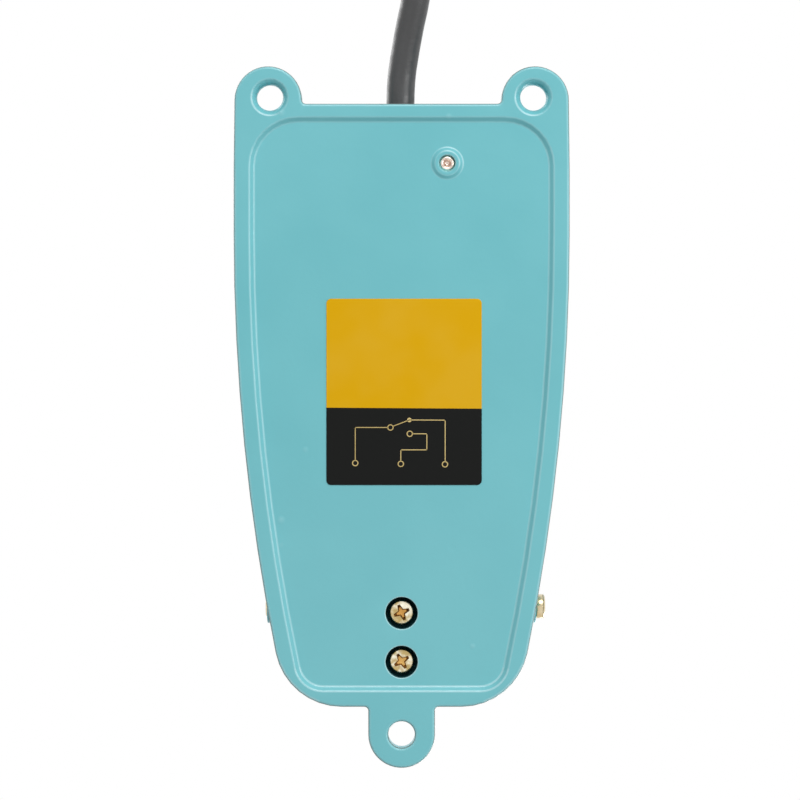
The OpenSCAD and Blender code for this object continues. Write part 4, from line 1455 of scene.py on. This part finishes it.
@dataclass
class SupplyCord:
    """The free cable: out of the base, down to the floor and into a tied coil, with bare ends."""

    radius: float = 3.5 * MM
    length: float = 1.11
    route: tuple[Point, ...] = (
        (0.4, 73.65, 11), (0.3, 77.5, 11), (0.2, 81.5, 10.9), (-0.1, 85.5, 10.5), (-0.7, 89.5, 9.7),
        (-1.4, 93.5, 8.7), (-2.3, 98, 7.4), (-3.2, 102, 6.3), (-3.8, 106, 5.3), (-4.1, 110, 4.6),
        (-3.9, 114, 4.2), (-3.2, 118, 4.1), (-2, 122, 4.1), (-0.5, 126, 4.1), (1.2, 130, 4.1),
        (2.8, 134, 4.1), (4.2, 138, 4.1), (5.3, 142, 4.1), (5.9, 146, 4.1), (6, 150, 4.1),
    )
    centre: tuple[float, float] = (-32.6, 150.0)
    seats: tuple[tuple[float, float], ...] = (
        (38.6, 4.1), (38.6, 11.2), (38.6, 18.3), (31.5, 18.3), (31.5, 11.2), (31.5, 4.1),
    )
    step: float = 6.0
    stay: float = 300.0
    shift: float = 50.0
    last_angle: float = 1673.0
    ends: tuple[tuple[float, float], ...] = ((-19, -25), (-12, -26.5), (-5, -26), (2, -24), (8, -20.5), (13, -16))
    end_z: float = 1.6
    end_parts: int = 6
    taper: float = 0.085
    spread: tuple[tuple[float, float], ...] = ((0.9, 3.0), (-0.9, 3.0), (0.0, 4.9))
    core_r: float = 1.0 * MM
    strand_r: float = 0.72 * MM

    def coiled(self) -> list[Point]:
        """Returns the points of the coil's turns, from the seat outside and below to the last one."""
        points: list[Point] = []
        for i in range(1, int(self.last_angle / self.step) + 1):
            turned = i * self.step
            seat = min(int(turned / self.stay), len(self.seats) - 1)
            r, z = self.seats[seat]
            for k in range(1, len(self.seats)):
                t = (turned - (k * self.stay - self.shift / 2)) / self.shift
                if 0.0 < t < 1.0:
                    t = t * t * (3 - 2 * t)
                    (r0, z0), (r1, z1) = self.seats[k - 1], self.seats[k]
                    r, z = r0 + (r1 - r0) * t, z0 + (z1 - z0) * t
            a = math.radians(turned)
            points.append(((self.centre[0] + r * math.cos(a)) * MM, (self.centre[1] + r * math.sin(a)) * MM, z * MM))
        return points

    def end_line(self, index: int) -> list[Point]:
        """Returns the line of one bare-ended lead past the jacket's end.

        Args:
            index: The lead.

        Returns:
            The line's points, in metres.
        """
        share = 1 - self.taper * index
        side, height = self.spread[index]
        points: list[Point] = []
        for i, (x, y) in enumerate(self.ends):
            t = min(1.0, i / 2)
            gap = (1 - share) * t
            points.append(
                (
                    (self.centre[0] + x * (1 - gap) + side * (1 - t) * 0.5) * MM,
                    (self.centre[1] + y * (1 - gap) + side * (1 - t) * 0.8) * MM,
                    (self.end_z + (height - self.end_z) * (1 - t)) * MM,
                )
            )
        return flowing(points, self.end_parts)

    def build(self, finishes: Finishes) -> None:
        """Args:
            finishes: The finishes.
        """
        start = [tuple(c * MM for c in p) for p in self.route]
        line = flowing(start, 3) + self.coiled()
        cord = wire("supply_cord", line, self.radius, 6)
        dress(cord, Body.BASE, [finishes.jacket], ["supply_cable", "cable_coil"], flat_faces=False)
        tie = Form.of_node("coil_tie").soften(0.2 * MM, 2, 32.0)
        tie_piece = dress(tie.object("coil_tie_piece"), Body.BASE, [finishes.tie], ["coil_tie"])
        parts = [tie_piece]
        for i, (name, material) in enumerate(finishes.cores):
            whole = self.end_line(i)
            cutoff = len(whole) - self.end_parts
            lead = wire_mesh(f"{name}_end", whole[: cutoff + 1], self.core_r)
            dress(lead, Body.BASE, [material], ["cable_ends"] if i == 0 else [], flat_faces=False)
            bare = wire_mesh(f"{name}_strands", whole[cutoff:], self.strand_r)
            dress(bare, Body.BASE, [finishes.strands], flat_faces=False)
            parts += [lead, bare]


# ---- Studio ----


@dataclass
class Lamp:
    """A soft square lamp that looks at the object."""

    name: str
    place: Point
    size: float
    power: float

    def build(self) -> None:
        """Makes the lamp."""
        data = bpy.data.lights.new(self.name, "AREA")
        data.shape, data.size, data.energy = "SQUARE", self.size, self.power
        lamp = bpy.data.objects.new(self.name, data)
        lamp.location = self.place
        lamp.rotation_euler = (-Vector(self.place)).to_track_quat("-Z", "Y").to_euler()
        bpy.context.scene.collection.objects.link(lamp)


@dataclass
class Studio:
    """The pale floor, the soft light and the camera that looks up at the underside."""

    lens: float = 121.0
    sensor: float = 36.0
    camera_place: Point = (0.4 * MM, 4.2 * MM, -660.0 * MM)
    floor_z: float = -0.05 * MM
    floor_half: float = 6.0
    floor_color: Color = (0.5, 0.5, 0.5, 1.0)
    floor_glow: float = 0.42
    world_level: float = 0.37
    lamps: tuple[Lamp, ...] = (
        Lamp("top_below", (-0.15, 0.9, -0.82), 0.6, 7.2),
        Lamp("side_below", (-0.85, 0.15, -0.8), 0.6, 4.1),
        Lamp("fill_below", (0.7, -0.3, -0.9), 0.9, 0.4),
        Lamp("key_above", (-0.6, -0.7, 1.0), 0.8, 11.0),
        Lamp("fill_above", (0.8, 0.5, 0.9), 0.9, 6.0),
    )

    def floor(self) -> None:
        """Makes the floor. From below it is clear, and it casts no shadow."""
        form = Form()
        place = Matrix.Translation((0, 0, self.floor_z))
        bmesh.ops.create_grid(form.bm, x_segments=1, y_segments=1, size=self.floor_half, matrix=place)
        plane = form.object("floor")
        s = Shader("floor_paint")
        s.color(self.floor_color)
        s.plain(Roughness=0.9, Specular_IOR_Level=0.1, Emission_Strength=self.floor_glow)
        s.surface.inputs["Emission Color"].default_value = (1.0, 1.0, 1.0, 1.0)
        clear = s.add("ShaderNodeBsdfTransparent")
        path = s.add("ShaderNodeLightPath")
        side = s.add("ShaderNodeNewGeometry")
        shown = s.math("MULTIPLY", path.outputs["Is Camera Ray"], s.math("SUBTRACT", 1.0, side.outputs["Backfacing"]))
        blend = s.add("ShaderNodeMixShader")
        s.join(shown, blend.inputs[0])
        s.join(clear.outputs[0], blend.inputs[1])
        s.join(s.surface.outputs["BSDF"], blend.inputs[2])
        output = next(n for n in s.tree.nodes if n.type == "OUTPUT_MATERIAL")
        s.join(blend.outputs[0], output.inputs["Surface"])
        plane.data.materials.append(s.material)

    def world(self) -> None:
        """Makes the surroundings: white where they are seen, and a plain level as light."""
        world = bpy.data.worlds.new("studio")
        bpy.context.scene.world = world
        world.use_nodes = True
        tree = world.node_tree
        tree.nodes.clear()
        output = tree.nodes.new("ShaderNodeOutputWorld")
        path = tree.nodes.new("ShaderNodeLightPath")
        seen, light = tree.nodes.new("ShaderNodeBackground"), tree.nodes.new("ShaderNodeBackground")
        seen.inputs["Color"].default_value = light.inputs["Color"].default_value = (1, 1, 1, 1)
        light.inputs["Strength"].default_value = self.world_level
        both, whole = tree.nodes.new("ShaderNodeMath"), tree.nodes.new("ShaderNodeMath")
        both.operation = whole.operation = "MAXIMUM"
        blend = tree.nodes.new("ShaderNodeMixShader")
        tree.links.new(path.outputs["Is Camera Ray"], both.inputs[0])
        tree.links.new(path.outputs["Is Glossy Ray"], both.inputs[1])
        tree.links.new(both.outputs[0], whole.inputs[0])
        tree.links.new(path.outputs["Is Transmission Ray"], whole.inputs[1])
        tree.links.new(whole.outputs[0], blend.inputs[0])
        tree.links.new(light.outputs[0], blend.inputs[1])
        tree.links.new(seen.outputs[0], blend.inputs[2])
        tree.links.new(blend.outputs[0], output.inputs["Surface"])

    def camera(self) -> None:
        """Makes the camera, straight below the object, with the cable end up."""
        data = bpy.data.cameras.new("view")
        data.lens, data.sensor_width = self.lens, self.sensor
        data.clip_start, data.clip_end = 0.01, 50.0
        camera = bpy.data.objects.new("view", data)
        camera.location = self.camera_place
        camera.rotation_euler = (0.0, math.pi, 0.0)
        bpy.context.scene.collection.objects.link(camera)
        bpy.context.scene.camera = camera

    def build(self) -> None:
        """Makes the whole studio."""
        self.camera()
        self.world()
        self.floor()
        for lamp in self.lamps:
            lamp.build()
        bpy.context.scene.view_settings.view_transform = "Standard"


def main() -> None:
    """Builds the studio and the sub-assemblies in order."""
    logging.basicConfig(level=logging.INFO, format="%(name)s: %(message)s")
    Studio().build()
    finishes = Finishes()
    for part in (SupplyCord(), BaseCasting(), Pedal(), Hinge(), ReturnSpring(), SwitchUnit(), Wiring(), CableEntry()):
        part.build(finishes)
        log.info("built %s", type(part).__name__)


if __name__ == "__main__":
    main()
